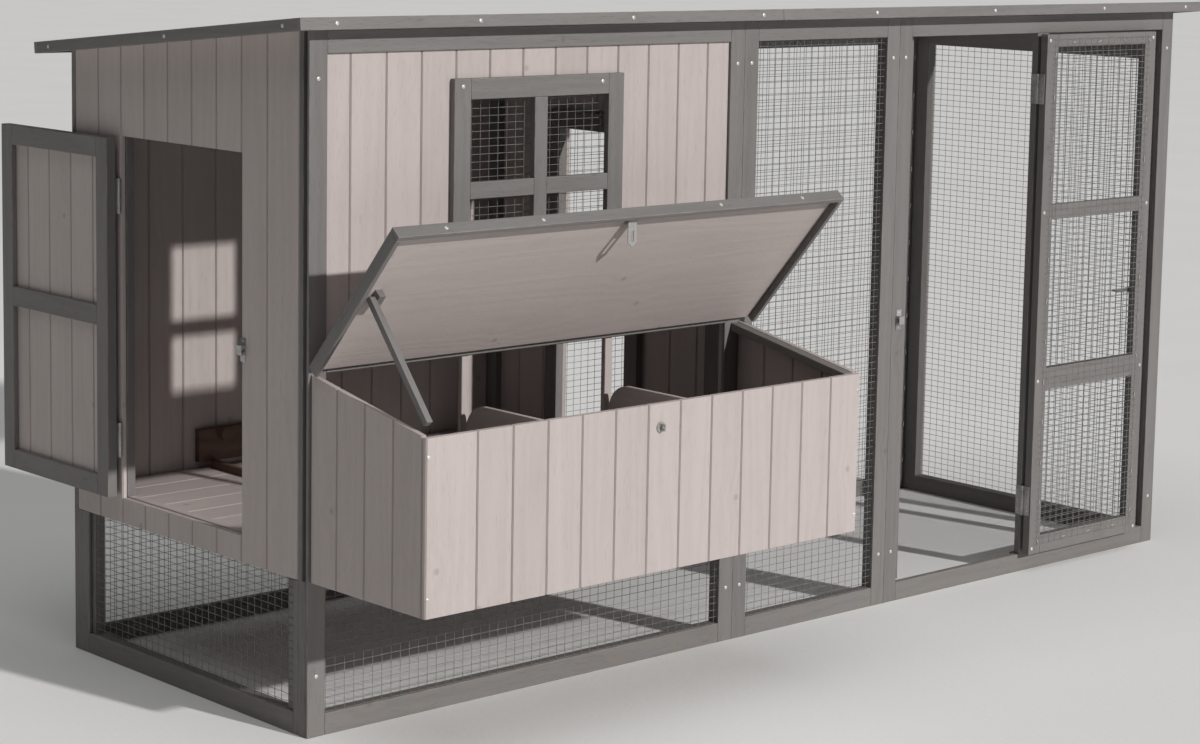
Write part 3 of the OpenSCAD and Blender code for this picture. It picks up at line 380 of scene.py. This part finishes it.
def merged(node):
    """A node's solids as whole faces in a bmesh, from a copy of its mesh."""
    shape = bmesh.new()
    shape.from_mesh(frame["nodes"][node].data)
    bmesh.ops.remove_doubles(shape, verts=shape.verts, dist=MERGE_DISTANCE)
    bmesh.ops.dissolve_limit(
        shape, angle_limit=math.radians(0.5), verts=shape.verts, edges=shape.edges
    )
    shape.normal_update()
    return shape


def islands(shape):
    """The separate solids of a bmesh, each as a list of its vertices."""
    found = []
    seen = set()
    for start in shape.verts:
        if start in seen:
            continue
        seen.add(start)
        group = [start]
        for vertex in group:
            for link in vertex.link_edges:
                other = link.other_vert(vertex)
                if other not in seen:
                    seen.add(other)
                    group.append(other)
        found.append(group)
    return found


def corners(points):
    """The lowest and highest corner of some points."""
    low = Vector(min(p[i] for p in points) for i in range(3))
    high = Vector(max(p[i] for p in points) for i in range(3))
    return low, high


def solid_boxes(node):
    """The box of each separate solid in a node."""
    shape = merged(node)
    found = [corners([v.co for v in group]) for group in islands(shape)]
    shape.free()
    return sorted(found, key=lambda pair: tuple(pair[0]))


def edge_angle(edge):
    """How far the two faces at an edge are turned from each other."""
    if len(edge.link_faces) != 2:
        return 0.0
    return edge.calc_face_angle(0.0)


def round_edges(shape, chosen, width, steps):
    """Rounds the chosen edges, and marks the new faces as edges that wear and, on boards, take
    painted shade.
    """
    wear_and_shade_mark = shape.faces.layers.float.get("edge") or shape.faces.layers.float.new("edge")
    if not chosen:
        return
    result = bmesh.ops.bevel(
        shape,
        geom=chosen,
        offset=width,
        offset_type="OFFSET",
        segments=steps,
        profile=0.5,
        affect="EDGES",
        clamp_overlap=True,
    )
    for face in result["faces"]:
        face[wear_and_shade_mark] = 1.0


def grain_axes(group, along):
    """The lengthwise, crosswise and thickness directions of one piece of timber."""
    edges = {link for vertex in group for link in vertex.link_edges}
    sides = sorted(
        ((e.verts[1].co - e.verts[0].co) for e in edges), key=lambda d: -d.length
    )
    first = Vector(along) if along else sides[0].normalized()
    second = None
    for side in sides:
        if side.length > 0 and abs(side.normalized().dot(first)) < 0.1:
            second = side.normalized()
            break
    second = second or first.orthogonal().normalized()
    second = (second - first * second.dot(first)).normalized()
    return first, second, first.cross(second)


def split_hollow_faces(shape):
    """Cuts faces that aren't convex into ones that are, so that they shade and export cleanly."""
    bmesh.ops.connect_verts_concave(shape, faces=shape.faces)
    bmesh.ops.recalc_face_normals(shape, faces=shape.faces)


def write_grain(shape, along, seed):
    """Stores where each point lies along, across and through its own piece of wood."""
    dice = random.Random(seed)
    grain = shape.verts.layers.float_vector.new("grain")
    tint = shape.verts.layers.float.new("tint")
    for group in islands(shape):
        first, second, third = grain_axes(group, along)
        shift = Vector((dice.uniform(0, 9), dice.uniform(0, 9), dice.uniform(0, 9)))
        shade = dice.random()
        for vertex in group:
            place = vertex.co
            vertex[grain] = Vector((place.dot(first), place.dot(second), place.dot(third))) + shift
            vertex[tint] = shade


def timber_mesh(shape, name, material, along, groove, seed):
    """Turns whole-faced solids into finished timber: rounded edges, grooves and grain."""
    sharp = [e for e in shape.edges if edge_angle(e) > math.radians(40)]
    if groove:
        lengthwise = Vector(along)
        long_edges = [
            e
            for e in sharp
            if abs((e.verts[1].co - e.verts[0].co).normalized().dot(lengthwise)) > 0.99
        ]
        round_edges(shape, long_edges, BOARD_GROOVE, 1)
        ends = [e for e in shape.edges if edge_angle(e) > math.radians(60)]
        round_edges(shape, ends, BOARD_END_ROUND, 1)
    else:
        shortest = min(e.calc_length() for e in sharp)
        round_edges(shape, sharp, min(TRIM_ROUND, shortest * 0.4), 2)
    split_hollow_faces(shape)
    write_grain(shape, along, seed)
    mesh = bpy.data.meshes.new(name)
    shape.to_mesh(mesh)
    shape.free()
    mesh.materials.append(material)
    return mesh


def smooth_by_angle(mesh, degrees):
    """Smooth shading over gentle edges, and a hard line at the others."""
    mesh.polygons.foreach_set("use_smooth", [True] * len(mesh.polygons))
    mesh.set_sharp_from_angle(angle=math.radians(degrees))


# ---- Timber ----

UP = (0.0, 0.0, 1.0)
LENGTHWISE = (1.0, 0.0, 0.0)
DEEP = (0.0, 1.0, 0.0)

# Boards with a groove at every seam, and the way their grain runs
GROOVED = {
    "house_front_boards": UP,
    "end_boards": UP,
    "back_boards": UP,
    "partition_boards": UP,
    "nest_front": UP,
    "nest_sides": UP,
    "end_door_boards": UP,
    "floor_boards": LENGTHWISE,
}
# Plain panels, and the way their grain runs
PLAIN = {
    "lid_panel": LENGTHWISE,
    "roof_deck": LENGTHWISE,
    "nest_floor": LENGTHWISE,
    "nest_dividers": DEEP,
    "end_sill": DEEP,
}


def make_timber():
    """A finished copy of every timber node."""
    timber_slots = ("trim_paint", "board_wash", "brown_wood")
    wooden = [node for node, slot in SLOT_OF.items() if slot in timber_slots]
    for seed, node in enumerate(sorted(wooden)):
        if node == "window_frame":
            continue
        along = GROOVED.get(node) or PLAIN.get(node)
        mesh = timber_mesh(
            merged(node), node, SLOT_MATERIAL[SLOT_OF[node]], along, node in GROOVED, seed
        )
        smooth_by_angle(mesh, 25)
        new_piece("finished_" + node, mesh, BODY_OF[node], [node])


def box_solid(shape, low, high):
    """Adds a block to a bmesh."""
    size = high - low
    place = Matrix.Translation((low + high) / 2) @ Matrix.Diagonal((*size, 1.0))
    bmesh.ops.create_cube(shape, size=1.0, matrix=place)


def levels(node, axis):
    """The different places along one axis at which a node has corners, in order."""
    found = []
    for place in sorted(v.co[axis] for v in frame["nodes"][node].data.vertices):
        if not found or place - found[-1] > MERGE_DISTANCE:
            found.append(place)
    return found


def make_window_frame():
    """The window frame from its bars: two stiles, two rails, a full mullion and two transoms."""
    x = levels("window_frame", 0)
    z = levels("window_frame", 2)
    low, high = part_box("window_frame")
    seam = 0.0002
    bars = [
        ((x[0], x[1] - seam), (z[0], z[5])),
        ((x[4] + seam, x[5]), (z[0], z[5])),
        ((x[1], x[4]), (z[0], z[1] - seam)),
        ((x[1], x[4]), (z[4] + seam, z[5])),
        ((x[2], x[3]), (z[1], z[4])),
        ((x[1], x[2] - seam), (z[2], z[3])),
        ((x[3] + seam, x[4]), (z[2], z[3])),
    ]
    shape = bmesh.new()
    for (x0, x1), (z0, z1) in bars:
        box_solid(shape, Vector((x0, low[1], z0)), Vector((x1, high[1], z1)))
    mesh = timber_mesh(shape, "window_bars", TRIM, None, False, 99)
    new_piece("window_bars", mesh, "coop", ["window_frame"])


# ---- Hardware ----


def make_hardware():
    """A copy of every metal node with softened edges."""
    screws = ("coop_screws", "door_screws", "lid_screws")
    for node, slot in SLOT_OF.items():
        if slot != "galvanised" or node in screws:
            continue
        shape = merged(node)
        sharp = [
            e
            for e in shape.edges
            if edge_angle(e) > math.radians(50) and e.calc_length() > METAL_ROUND * 2.2
        ]
        round_edges(shape, sharp, METAL_ROUND, 1)
        split_hollow_faces(shape)
        mesh = bpy.data.meshes.new(node)
        shape.to_mesh(mesh)
        shape.free()
        mesh.materials.append(ZINC)
        smooth_by_angle(mesh, 30)
        new_piece("finished_" + node, mesh, BODY_OF[node], [node])


# ---- Roof felt ----


def make_felt():
    """The felt as two sheets, with their long edges cut into a finer grid."""
    shape = merged("roof_felt")
    long_edges = [e for e in shape.edges if e.calc_length() > 0.05]
    bmesh.ops.subdivide_edges(shape, edges=long_edges, cuts=40, use_grid_fill=True)
    mesh = bpy.data.meshes.new("felt_sheets")
    shape.to_mesh(mesh)
    shape.free()
    mesh.materials.append(FELT)
    new_piece("felt_sheets", mesh, "coop", ["roof_felt"])


# ---- Geometry Nodes ----


def new_tree(name, inputs):
    """An empty geometry node tree with named inputs, and its input and output nodes."""
    tree = bpy.data.node_groups.new(name, "GeometryNodeTree")
    for label, kind in inputs:
        tree.interface.new_socket(label, in_out="INPUT", socket_type=kind)
    tree.interface.new_socket("Geometry", in_out="OUTPUT", socket_type="NodeSocketGeometry")
    start = tree.nodes.new("NodeGroupInput")
    end = tree.nodes.new("NodeGroupOutput")
    return tree, start, end


def close_tree(tree, last, finish, end):
    """Ends a tree: its instances become plain geometry with one material."""
    real = add(tree, "GeometryNodeRealizeInstances", {0: last.outputs[0]})
    done = add(
        tree, "GeometryNodeSetMaterial", {"Geometry": real.outputs[0], "Material": finish}
    )
    tree.links.new(done.outputs[0], end.inputs[0])
    return tree


def run_tree(tree, source, values):
    """The plain mesh that a tree makes from a source mesh."""
    maker = bpy.data.objects.new("maker", source)
    bpy.context.scene.collection.objects.link(maker)
    modifier = maker.modifiers.new("pattern", "NODES")
    modifier.node_group = tree
    for item in tree.interface.items_tree:
        if item.in_out == "INPUT" and item.name in values:
            modifier[item.identifier] = values[item.name]
    graph = bpy.context.evaluated_depsgraph_get()
    made = bpy.data.meshes.new_from_object(maker.evaluated_get(graph))
    bpy.data.objects.remove(maker)
    return made


def wire_net_tree():
    """Welded wire over a rectangle from the origin: upright wires, and level ones in front."""
    tree, start, end = new_tree(
        "welded_wire",
        [
            ("Geometry", "NodeSocketGeometry"),
            ("Width", "NodeSocketFloat"),
            ("Height", "NodeSocketFloat"),
            ("Cell Width", "NodeSocketFloat"),
            ("Cell Height", "NodeSocketFloat"),
            ("Wire Radius", "NodeSocketFloat"),
            ("Wave", "NodeSocketFloat"),
            ("Seed", "NodeSocketFloat"),
            ("Finish", "NodeSocketMaterial"),
        ],
    )
    given = start.outputs

    def maths(operation, a, b=0.0):
        return add(tree, "ShaderNodeMath", {0: a, 1: b}, operation=operation).outputs[0]

    def vector(x=0.0, y=0.0, z=0.0):
        return add(tree, "ShaderNodeCombineXYZ", {0: x, 1: y, 2: z}).outputs[0]

    def wires(reach, cell, length, other_cell, sideways, lengthwise, lift):
        """A row of parallel wires. sideways and lengthwise turn a number into a vector."""
        gaps = maths("FLOOR", maths("DIVIDE", reach, cell))
        margin = maths("MULTIPLY", maths("SUBTRACT", reach, maths("MULTIPLY", gaps, cell)), 0.5)
        row = add(
            tree,
            "GeometryNodeMeshLine",
            {
                "Count": maths("ADD", gaps, 1.0),
                "Start Location": sideways(margin, lift),
                "Offset": sideways(cell, 0.0),
            },
        )
        joints = maths("ADD", maths("ROUND", maths("DIVIDE", length, other_cell)), 1.0)
        line = add(tree, "GeometryNodeCurvePrimitiveLine", {"End": lengthwise(length)})
        parted = add(
            tree, "GeometryNodeResampleCurve", {"Curve": line.outputs[0], "Count": joints}
        )
        placed = add(
            tree,
            "GeometryNodeInstanceOnPoints",
            {"Points": row.outputs[0], "Instance": parted.outputs[0]},
        )
        real = add(tree, "GeometryNodeRealizeInstances", {0: placed.outputs[0]})
        return real.outputs[0]

    front = maths("MULTIPLY", given["Wire Radius"], 0.9)
    behind = maths("MULTIPLY", given["Wire Radius"], -0.9)
    upright = wires(
        given["Width"], given["Cell Width"], given["Height"], given["Cell Height"],
        lambda v, z: vector(v, 0.0, z), lambda v: vector(0.0, v, 0.0), behind,
    )
    level = wires(
        given["Height"], given["Cell Height"], given["Width"], given["Cell Width"],
        lambda v, z: vector(0.0, v, z), lambda v: vector(v, 0.0, 0.0), front,
    )
    both = add(tree, "GeometryNodeJoinGeometry")
    tree.links.new(upright, both.inputs[0])
    tree.links.new(level, both.inputs[0])
    place = add(tree, "GeometryNodeInputPosition").outputs[0]
    field = add(
        tree,
        "ShaderNodeTexNoise",
        {"Vector": place, "W": given["Seed"], "Scale": 9.0, "Detail": 1.0},
        noise_dimensions="4D",
    )
    centred = add(
        tree,
        "ShaderNodeVectorMath",
        {0: field.outputs["Color"], 1: (0.5, 0.5, 0.5)},
        operation="SUBTRACT",
    )
    double = maths("MULTIPLY", given["Wave"], 2.0)
    shift = add(
        tree,
        "ShaderNodeVectorMath",
        {0: centred.outputs[0], "Scale": double},
        operation="SCALE",
    )
    moved = add(
        tree, "GeometryNodeSetPosition", {"Geometry": both.outputs[0], "Offset": shift.outputs[0]}
    )
    profile = add(
        tree, "GeometryNodeCurvePrimitiveCircle", {"Resolution": 6, "Radius": given["Wire Radius"]}
    )
    tube = add(
        tree,
        "GeometryNodeCurveToMesh",
        {"Curve": moved.outputs[0], "Profile Curve": profile.outputs[0], "Fill Caps": True},
    )
    return close_tree(tree, tube, given["Finish"], end)


def join_meshes(name, meshes):
    """Several meshes as one, with their materials and attributes."""
    shape = bmesh.new()
    for mesh in meshes:
        shape.from_mesh(mesh)
    made = bpy.data.meshes.new(name)
    shape.to_mesh(made)
    shape.free()
    for material in meshes[0].materials:
        made.materials.append(material)
    return made


def plate_plane(low, high, outward):
    """The matrix that lays a pattern drawn in X and Y on the middle of an upright plate."""
    normal = Vector(outward)
    upright = Vector(UP)
    sideways = upright.cross(normal)
    corner = Vector(low)
    middle = (low + high) / 2
    for i in range(3):
        if abs(normal[i]) > 0.5:
            corner[i] = middle[i]
        if sideways[i] < -0.5:
            corner[i] = high[i]
    across = abs(sideways.dot(high - low))
    turn = Matrix((sideways, upright, normal)).transposed().to_4x4()
    return Matrix.Translation(corner) @ turn, across, high[2] - low[2]


# Wire nodes, and the way that the level wires face
NETS = {
    "window_mesh": (0.0, 1.0, 0.0),
    "front_mesh": (0.0, -1.0, 0.0),
    "end_mesh": (-1.0, 0.0, 0.0),
    "back_mesh": (0.0, -1.0, 0.0),
    "run_end_mesh": (1.0, 0.0, 0.0),
    "run_door_mesh": (0.0, -1.0, 0.0),
}


def make_nets():
    """Every wire net, in the place of its plate."""
    tree = wire_net_tree()
    empty = bpy.data.meshes.new("net_start")
    seed = 0.0
    for node, outward in NETS.items():
        parts = []
        for low, high in solid_boxes(node):
            seed += 1.0
            place, across, tall = plate_plane(low, high, outward)
            net = run_tree(
                tree,
                empty,
                {
                    "Width": across,
                    "Height": tall,
                    "Cell Width": CELL_WIDE,
                    "Cell Height": CELL_TALL,
                    "Wire Radius": WIRE_RADIUS,
                    "Wave": WIRE_WAVE,
                    "Seed": seed,
                    "Finish": WIRE,
                },
            )
            net.transform(place)
            parts.append(net)
        mesh = join_meshes(node, parts)
        mesh.polygons.foreach_set("use_smooth", [True] * len(mesh.polygons))
        new_piece("welded_" + node, mesh, BODY_OF[node], [node])


# ---- Screws ----


def ring_of(shape, radius, height, count):
    """A ring of vertices round the Z axis."""
    return [
        shape.verts.new(
            (
                radius * math.cos(math.tau * i / count),
                radius * math.sin(math.tau * i / count),
                height,
            )
        )
        for i in range(count)
    ]


def bridge(shape, outer, inner):
    """Faces between two rings of the same count."""
    count = len(outer)
    for i in range(count):
        j = (i + 1) % count
        shape.faces.new((outer[i], outer[j], inner[j], inner[i]))


def screw_head_shape():
    """A domed head of radius one with a cross recess, standing on the XY plane."""
    around = 16
    arm = 0.50
    half = 0.11
    shape = bmesh.new()
    foot = ring_of(shape, 1.0, 0.0, around)
    side = ring_of(shape, 0.97, 0.14, around)
    dome = ring_of(shape, 0.66, 0.28, around)
    bridge(shape, foot, side)
    bridge(shape, side, dome)
    outline = []
    for quarter in range(4):
        turn = Matrix.Rotation(quarter * math.pi / 2, 3, "Z")
        for x, y in ((arm, -half), (arm, half), (half, half)):
            outline.append(turn @ Vector((x, y, HEAD_TALL)))
    top = [shape.verts.new(point) for point in outline]
    floor = [shape.verts.new((0.7 * p.x, 0.7 * p.y, 0.08)) for p in outline]
    dome_edges = [shape.edges.get((dome[i], dome[(i + 1) % around])) for i in range(around)]
    cross_edges = [shape.edges.new((top[i], top[(i + 1) % 12])) for i in range(12)]
    bmesh.ops.bridge_loops(shape, edges=dome_edges + cross_edges)
    bridge(shape, top, floor)
    shape.faces.new(floor)
    shape.faces.new(list(reversed(foot)))
    bmesh.ops.recalc_face_normals(shape, faces=shape.faces)
    mesh = bpy.data.meshes.new("screw_head")
    shape.to_mesh(mesh)
    shape.free()
    smooth_by_angle(mesh, 35)
    return mesh


def spread_tree():
    """A shape on every point of a mesh, turned to the point's facing and scaled by its size."""
    tree, start, end = new_tree(
        "spread",
        [
            ("Geometry", "NodeSocketGeometry"),
            ("Shape", "NodeSocketObject"),
            ("Seed", "NodeSocketInt"),
            ("Finish", "NodeSocketMaterial"),
        ],
    )
    given = start.outputs
    facing = add(
        tree, "GeometryNodeInputNamedAttribute", {"Name": "facing"}, data_type="FLOAT_VECTOR"
    )
    size = add(tree, "GeometryNodeInputNamedAttribute", {"Name": "size"}, data_type="FLOAT")
    aligned = add(
        tree, "FunctionNodeAlignRotationToVector", {"Vector": facing.outputs[0]}, axis="Z"
    )
    angle = add(
        tree,
        "FunctionNodeRandomValue",
        {"Min": 0.0, "Max": math.pi / 2, "Seed": given["Seed"]},
        data_type="FLOAT",
    )
    turn = add(
        tree,
        "FunctionNodeAxisAngleToRotation",
        {"Axis": (0.0, 0.0, 1.0), "Angle": angle.outputs[1]},
    )
    turned = add(
        tree,
        "FunctionNodeRotateRotation",
        {0: aligned.outputs[0], 1: turn.outputs[0]},
        rotation_space="LOCAL",
    )
    source = add(tree, "GeometryNodeObjectInfo", {"Object": given["Shape"]})
    placed = add(
        tree,
        "GeometryNodeInstanceOnPoints",
        {
            "Points": given["Geometry"],
            "Instance": source.outputs["Geometry"],
            "Rotation": turned.outputs[0],
            "Scale": size.outputs[0],
        },
    )
    return close_tree(tree, placed, given["Finish"], end)


def point_mesh(name, points):
    """A mesh of loose points, each given as its place, its facing and its size."""
    mesh = bpy.data.meshes.new(name)
    mesh.from_pydata([place for place, _, _ in points], [], [])
    mesh.attributes.new("facing", "FLOAT_VECTOR", "POINT")
    mesh.attributes.new("size", "FLOAT", "POINT")
    # A new attribute moves the others in memory, so both are looked up once both are there
    facing = mesh.attributes["facing"].data
    size = mesh.attributes["size"].data
    for index, (_, direction, radius) in enumerate(points):
        facing[index].vector = direction
        size[index].value = radius
    return mesh


def cad_screw_points(node):
    """Where the screw heads of a node sit: on the widest face of each, which lies on the timber."""
    shape = merged(node)
    points = []
    for group in islands(shape):
        faces = {face for vertex in group for face in vertex.link_faces}
        seat = max(faces, key=lambda face: face.calc_area())
        radius = math.sqrt(seat.calc_area() / math.pi)
        points.append((seat.calc_center_median(), -seat.normal, radius))
    shape.free()
    return sorted(points, key=lambda point: tuple(point[0]))


def plate_screw_points(node, facings, spots, away, radius):
    """Screw places on every plate of a node. spots are shares of its length from its middle, and
    away is how far they lie from its middle line, towards the side without knuckles."""
    shape = merged(node)
    points = []
    for group in islands(shape):
        faces = {face for vertex in group for face in vertex.link_faces}
        backs = [(f, Vector(d)) for f in faces for d in facings if f.normal.dot(Vector(d)) < -0.9]
        back, facing = max(backs, key=lambda pair: pair[0].calc_area())
        rim = max(back.edges, key=lambda edge: edge.calc_length())
        along = (rim.verts[1].co - rim.verts[0].co).normalized()
        across = along.cross(facing)
        length = [v.co.dot(along) for v in back.verts]
        width = [v.co.dot(across) for v in back.verts]
        middle = (min(width) + max(width)) / 2
        mean = sum(v.co.dot(across) for v in group) / len(group)
        side = 1.0 if mean < middle else -1.0
        free_edge = max(width) if side > 0 else min(width)
        corner = [
            v.co.dot(facing)
            for v in group
            if abs(v.co.dot(across) - free_edge) < LEVEL
            and min(abs(v.co.dot(along) - end) for end in (min(length), max(length))) < LEVEL
        ]
        reach = max(length) - min(length)
        for spot in spots:
            place = along * ((min(length) + max(length)) / 2 + spot * reach)
            place += across * (middle + side * away * (max(width) - min(width)))
            place += facing * (max(corner) - (HEAD_TALL - LEAF_SCREW_PROUD) * radius)
            points.append((place, facing, radius))
    shape.free()
    return sorted(points, key=lambda point: tuple(point[0]))


def leaf_screw_points(node, facings, spots=LEAF_SPOTS):
    """Screw places on the hinge leaves of a node."""
    return plate_screw_points(node, facings, spots, LEAF_AWAY, LEAF_SCREW)


def lid_outward():
    """The direction in which the open lid's outer face looks."""
    shape = merged("lid_panel")
    top = max(
        (face for face in shape.faces if face.normal.z > 0), key=lambda face: face.calc_area()
    )
    outward = top.normal.copy()
    shape.free()
    return outward


def make_screws():
    """Every visible screw head, one piece for each body."""
    front = (0.0, -1.0, 0.0)
    left = (-1.0, 0.0, 0.0)
    outward = tuple(lid_outward())
    sets = {
        "coop": (
            ["coop_screws"],
            cad_screw_points("coop_screws")
            + leaf_screw_points("fixed_hinge_leaves", (left, front))
            + plate_screw_points("bolt_keepers", (left, front), PLATE_SPOTS, 0.0, PLATE_SCREW),
        ),
        "run_door": (
            ["door_screws"],
            cad_screw_points("door_screws")
            + leaf_screw_points("run_door_hinge_leaves", (left,)),
        ),
        "end_door": (
            [],
            leaf_screw_points("end_door_hinge_leaves", ((1.0, 0.0, 0.0),)),
        ),
        "nest_lid": (
            ["lid_screws"],
            cad_screw_points("lid_screws")
            + leaf_screw_points("lid_hinge_leaves", (outward,), LID_SPOTS),
        ),
    }
    head = bpy.data.objects.new("screw_head", screw_head_shape())
    bpy.context.scene.collection.objects.link(head)
    tree = spread_tree()
    for seed, (body, (replaced, points)) in enumerate(sets.items()):
        mesh = run_tree(
            tree,
            point_mesh(body + "_points", points),
            {"Shape": head, "Seed": seed, "Finish": SCREW_ZINC},
        )
        new_piece(body + "_screw_heads", mesh, body, replaced)
    bpy.data.objects.remove(head)


# ---- Staples ----


def staple_shape():
    """A wire staple whose crown lies on the XY plane, with its two legs going down."""
    half = STAPLE_CROWN / 2
    wire = STAPLE_WIRE
    shape = bmesh.new()
    box_solid(shape, Vector((-half, -wire / 2, 0.0)), Vector((half, wire / 2, wire)))
    for x in (-half, half - wire):
        box_solid(
            shape, Vector((x, -wire / 2, -STAPLE_LEG)), Vector((x + wire, wire / 2, wire / 2))
        )
    round_edges(shape, [e for e in shape.edges if e.calc_length() > 2 * wire], wire * 0.28, 1)
    mesh = bpy.data.meshes.new("staple")
    shape.to_mesh(mesh)
    shape.free()
    return mesh


def staple_tree():
    """Staples at even steps along lines, each turned a little from the line."""
    tree, start, end = new_tree(
        "staple_rows",
        [
            ("Geometry", "NodeSocketGeometry"),
            ("Spacing", "NodeSocketFloat"),
            ("Turn", "NodeSocketFloat"),
            ("Shape", "NodeSocketObject"),
            ("Seed", "NodeSocketInt"),
            ("Finish", "NodeSocketMaterial"),
        ],
    )
    given = start.outputs
    lines = add(tree, "GeometryNodeMeshToCurve", {"Mesh": given["Geometry"]})
    steps = add(
        tree,
        "GeometryNodeResampleCurve",
        {"Curve": lines.outputs[0], "Length": given["Spacing"]},
        mode="LENGTH",
    )
    tangent = add(tree, "GeometryNodeInputTangent")
    aligned = add(
        tree, "FunctionNodeAlignRotationToVector", {"Vector": tangent.outputs[0]}, axis="X"
    )
    less = add(tree, "ShaderNodeMath", {0: given["Turn"], 1: -1.0}, operation="MULTIPLY")
    angle = add(
        tree,
        "FunctionNodeRandomValue",
        {"Min": less.outputs[0], "Max": given["Turn"], "Seed": given["Seed"]},
        data_type="FLOAT",
    )
    turn = add(
        tree,
        "FunctionNodeAxisAngleToRotation",
        {"Axis": (0.0, 0.0, 1.0), "Angle": angle.outputs[1]},
    )
    turned = add(
        tree,
        "FunctionNodeRotateRotation",
        {0: aligned.outputs[0], 1: turn.outputs[0]},
        rotation_space="LOCAL",
    )
    source = add(tree, "GeometryNodeObjectInfo", {"Object": given["Shape"]})
    placed = add(
        tree,
        "GeometryNodeInstanceOnPoints",
        {
            "Points": steps.outputs[0],
            "Instance": source.outputs["Geometry"],
            "Rotation": turned.outputs[0],
        },
    )
    return close_tree(tree, placed, given["Finish"], end)


def rectangle_line(across, tall, inset, height):
    """The outline of a rectangle as a mesh of edges, drawn inside a wire net."""
    x0, x1 = inset, across - inset
    y0, y1 = inset, tall - inset
    mesh = bpy.data.meshes.new("outline")
    corner_points = [(x0, y0, height), (x1, y0, height), (x1, y1, height), (x0, y1, height)]
    mesh.from_pydata(corner_points, [(0, 1), (1, 2), (2, 3), (3, 0)], [])
    return mesh


def make_staples():
    """Staples round the nets whose edges show."""
    holder = bpy.data.objects.new("staple", staple_shape())
    bpy.context.scene.collection.objects.link(holder)
    tree = staple_tree()
    for seed, node in enumerate(("window_mesh", "back_mesh", "run_door_mesh")):
        parts = []
        for low, high in solid_boxes(node):
            place, across, tall = plate_plane(low, high, NETS[node])
            line = rectangle_line(across, tall, STAPLE_INSET, 1.4 * WIRE_RADIUS)
            row = run_tree(
                tree,
                line,
                {
                    "Spacing": STAPLE_SPACING,
                    "Turn": STAPLE_TURN,
                    "Shape": holder,
                    "Seed": seed,
                    "Finish": SCREW_ZINC,
                },
            )
            row.transform(place)
            parts.append(row)
        mesh = join_meshes(node + "_staples", parts)
        new_piece(node + "_staples", mesh, BODY_OF[node])
    bpy.data.objects.remove(holder)


# ---- Camera, light and floor ----


def make_camera():
    """The camera, given by its place, its three turns, its lens and its shift."""
    yaw = math.radians(42.878)
    pitch = math.radians(7.267)
    roll = math.radians(1.081)
    lens = bpy.data.cameras.new("camera")
    lens.sensor_width = 36.0
    lens.lens = 82.07
    lens.shift_x = -0.0277
    lens.shift_y = -0.1
    lens.clip_end = 60.0
    made = bpy.data.objects.new("camera", lens)
    bpy.context.scene.collection.objects.link(made)
    turn = (
        Matrix.Rotation(-yaw, 4, "Z")
        @ Matrix.Rotation(math.pi / 2 - pitch, 4, "X")
        @ Matrix.Rotation(roll, 4, "Z")
    )
    made.matrix_world = Matrix.Translation((-3.6359, -3.7577, 1.3399)) @ turn
    bpy.context.scene.camera = made


def add_sun(name, travel, strength, spread, colour):
    """A lamp as far away as the sun, given by the way its light travels and how soft it is."""
    lamp = bpy.data.lights.new(name, "SUN")
    lamp.energy = strength
    lamp.angle = math.radians(spread)
    lamp.color = colour
    made = bpy.data.objects.new(name, lamp)
    bpy.context.scene.collection.objects.link(made)
    made.rotation_mode = "QUATERNION"
    made.rotation_quaternion = Vector(travel).to_track_quat("-Z", "Y")


def make_light():
    """A key from the front right, a broad soft light from above, and a faint even surround."""
    add_sun("key", (-0.131, 0.680, -0.306), 3.0, 1.5, (1.0, 0.985, 0.97))
    add_sun("overhead", (0.15, 0.1, -1.0), 1.0, 60.0, (1.0, 1.0, 1.0))
    world = bpy.data.worlds.new("surround")
    world.use_nodes = True
    shade = world.node_tree.nodes["Background"]
    shade.inputs["Color"].default_value = (0.95, 0.97, 1.0, 1.0)
    shade.inputs["Strength"].default_value = 0.06
    bpy.context.scene.world = world
    bpy.context.scene.view_settings.view_transform = "Standard"


def make_floor():
    """A wide plain floor."""
    shape = bmesh.new()
    bmesh.ops.create_grid(shape, x_segments=8, y_segments=8, size=60.0)
    mesh = bpy.data.meshes.new("studio_floor")
    shape.to_mesh(mesh)
    shape.free()
    mesh.materials.append(floor_material())
    made = bpy.data.objects.new("studio_floor", mesh)
    bpy.context.scene.collection.objects.link(made)


make_camera()
make_light()
make_floor()
make_timber()
make_window_frame()
make_hardware()
make_felt()
make_nets()
make_screws()
make_staples()
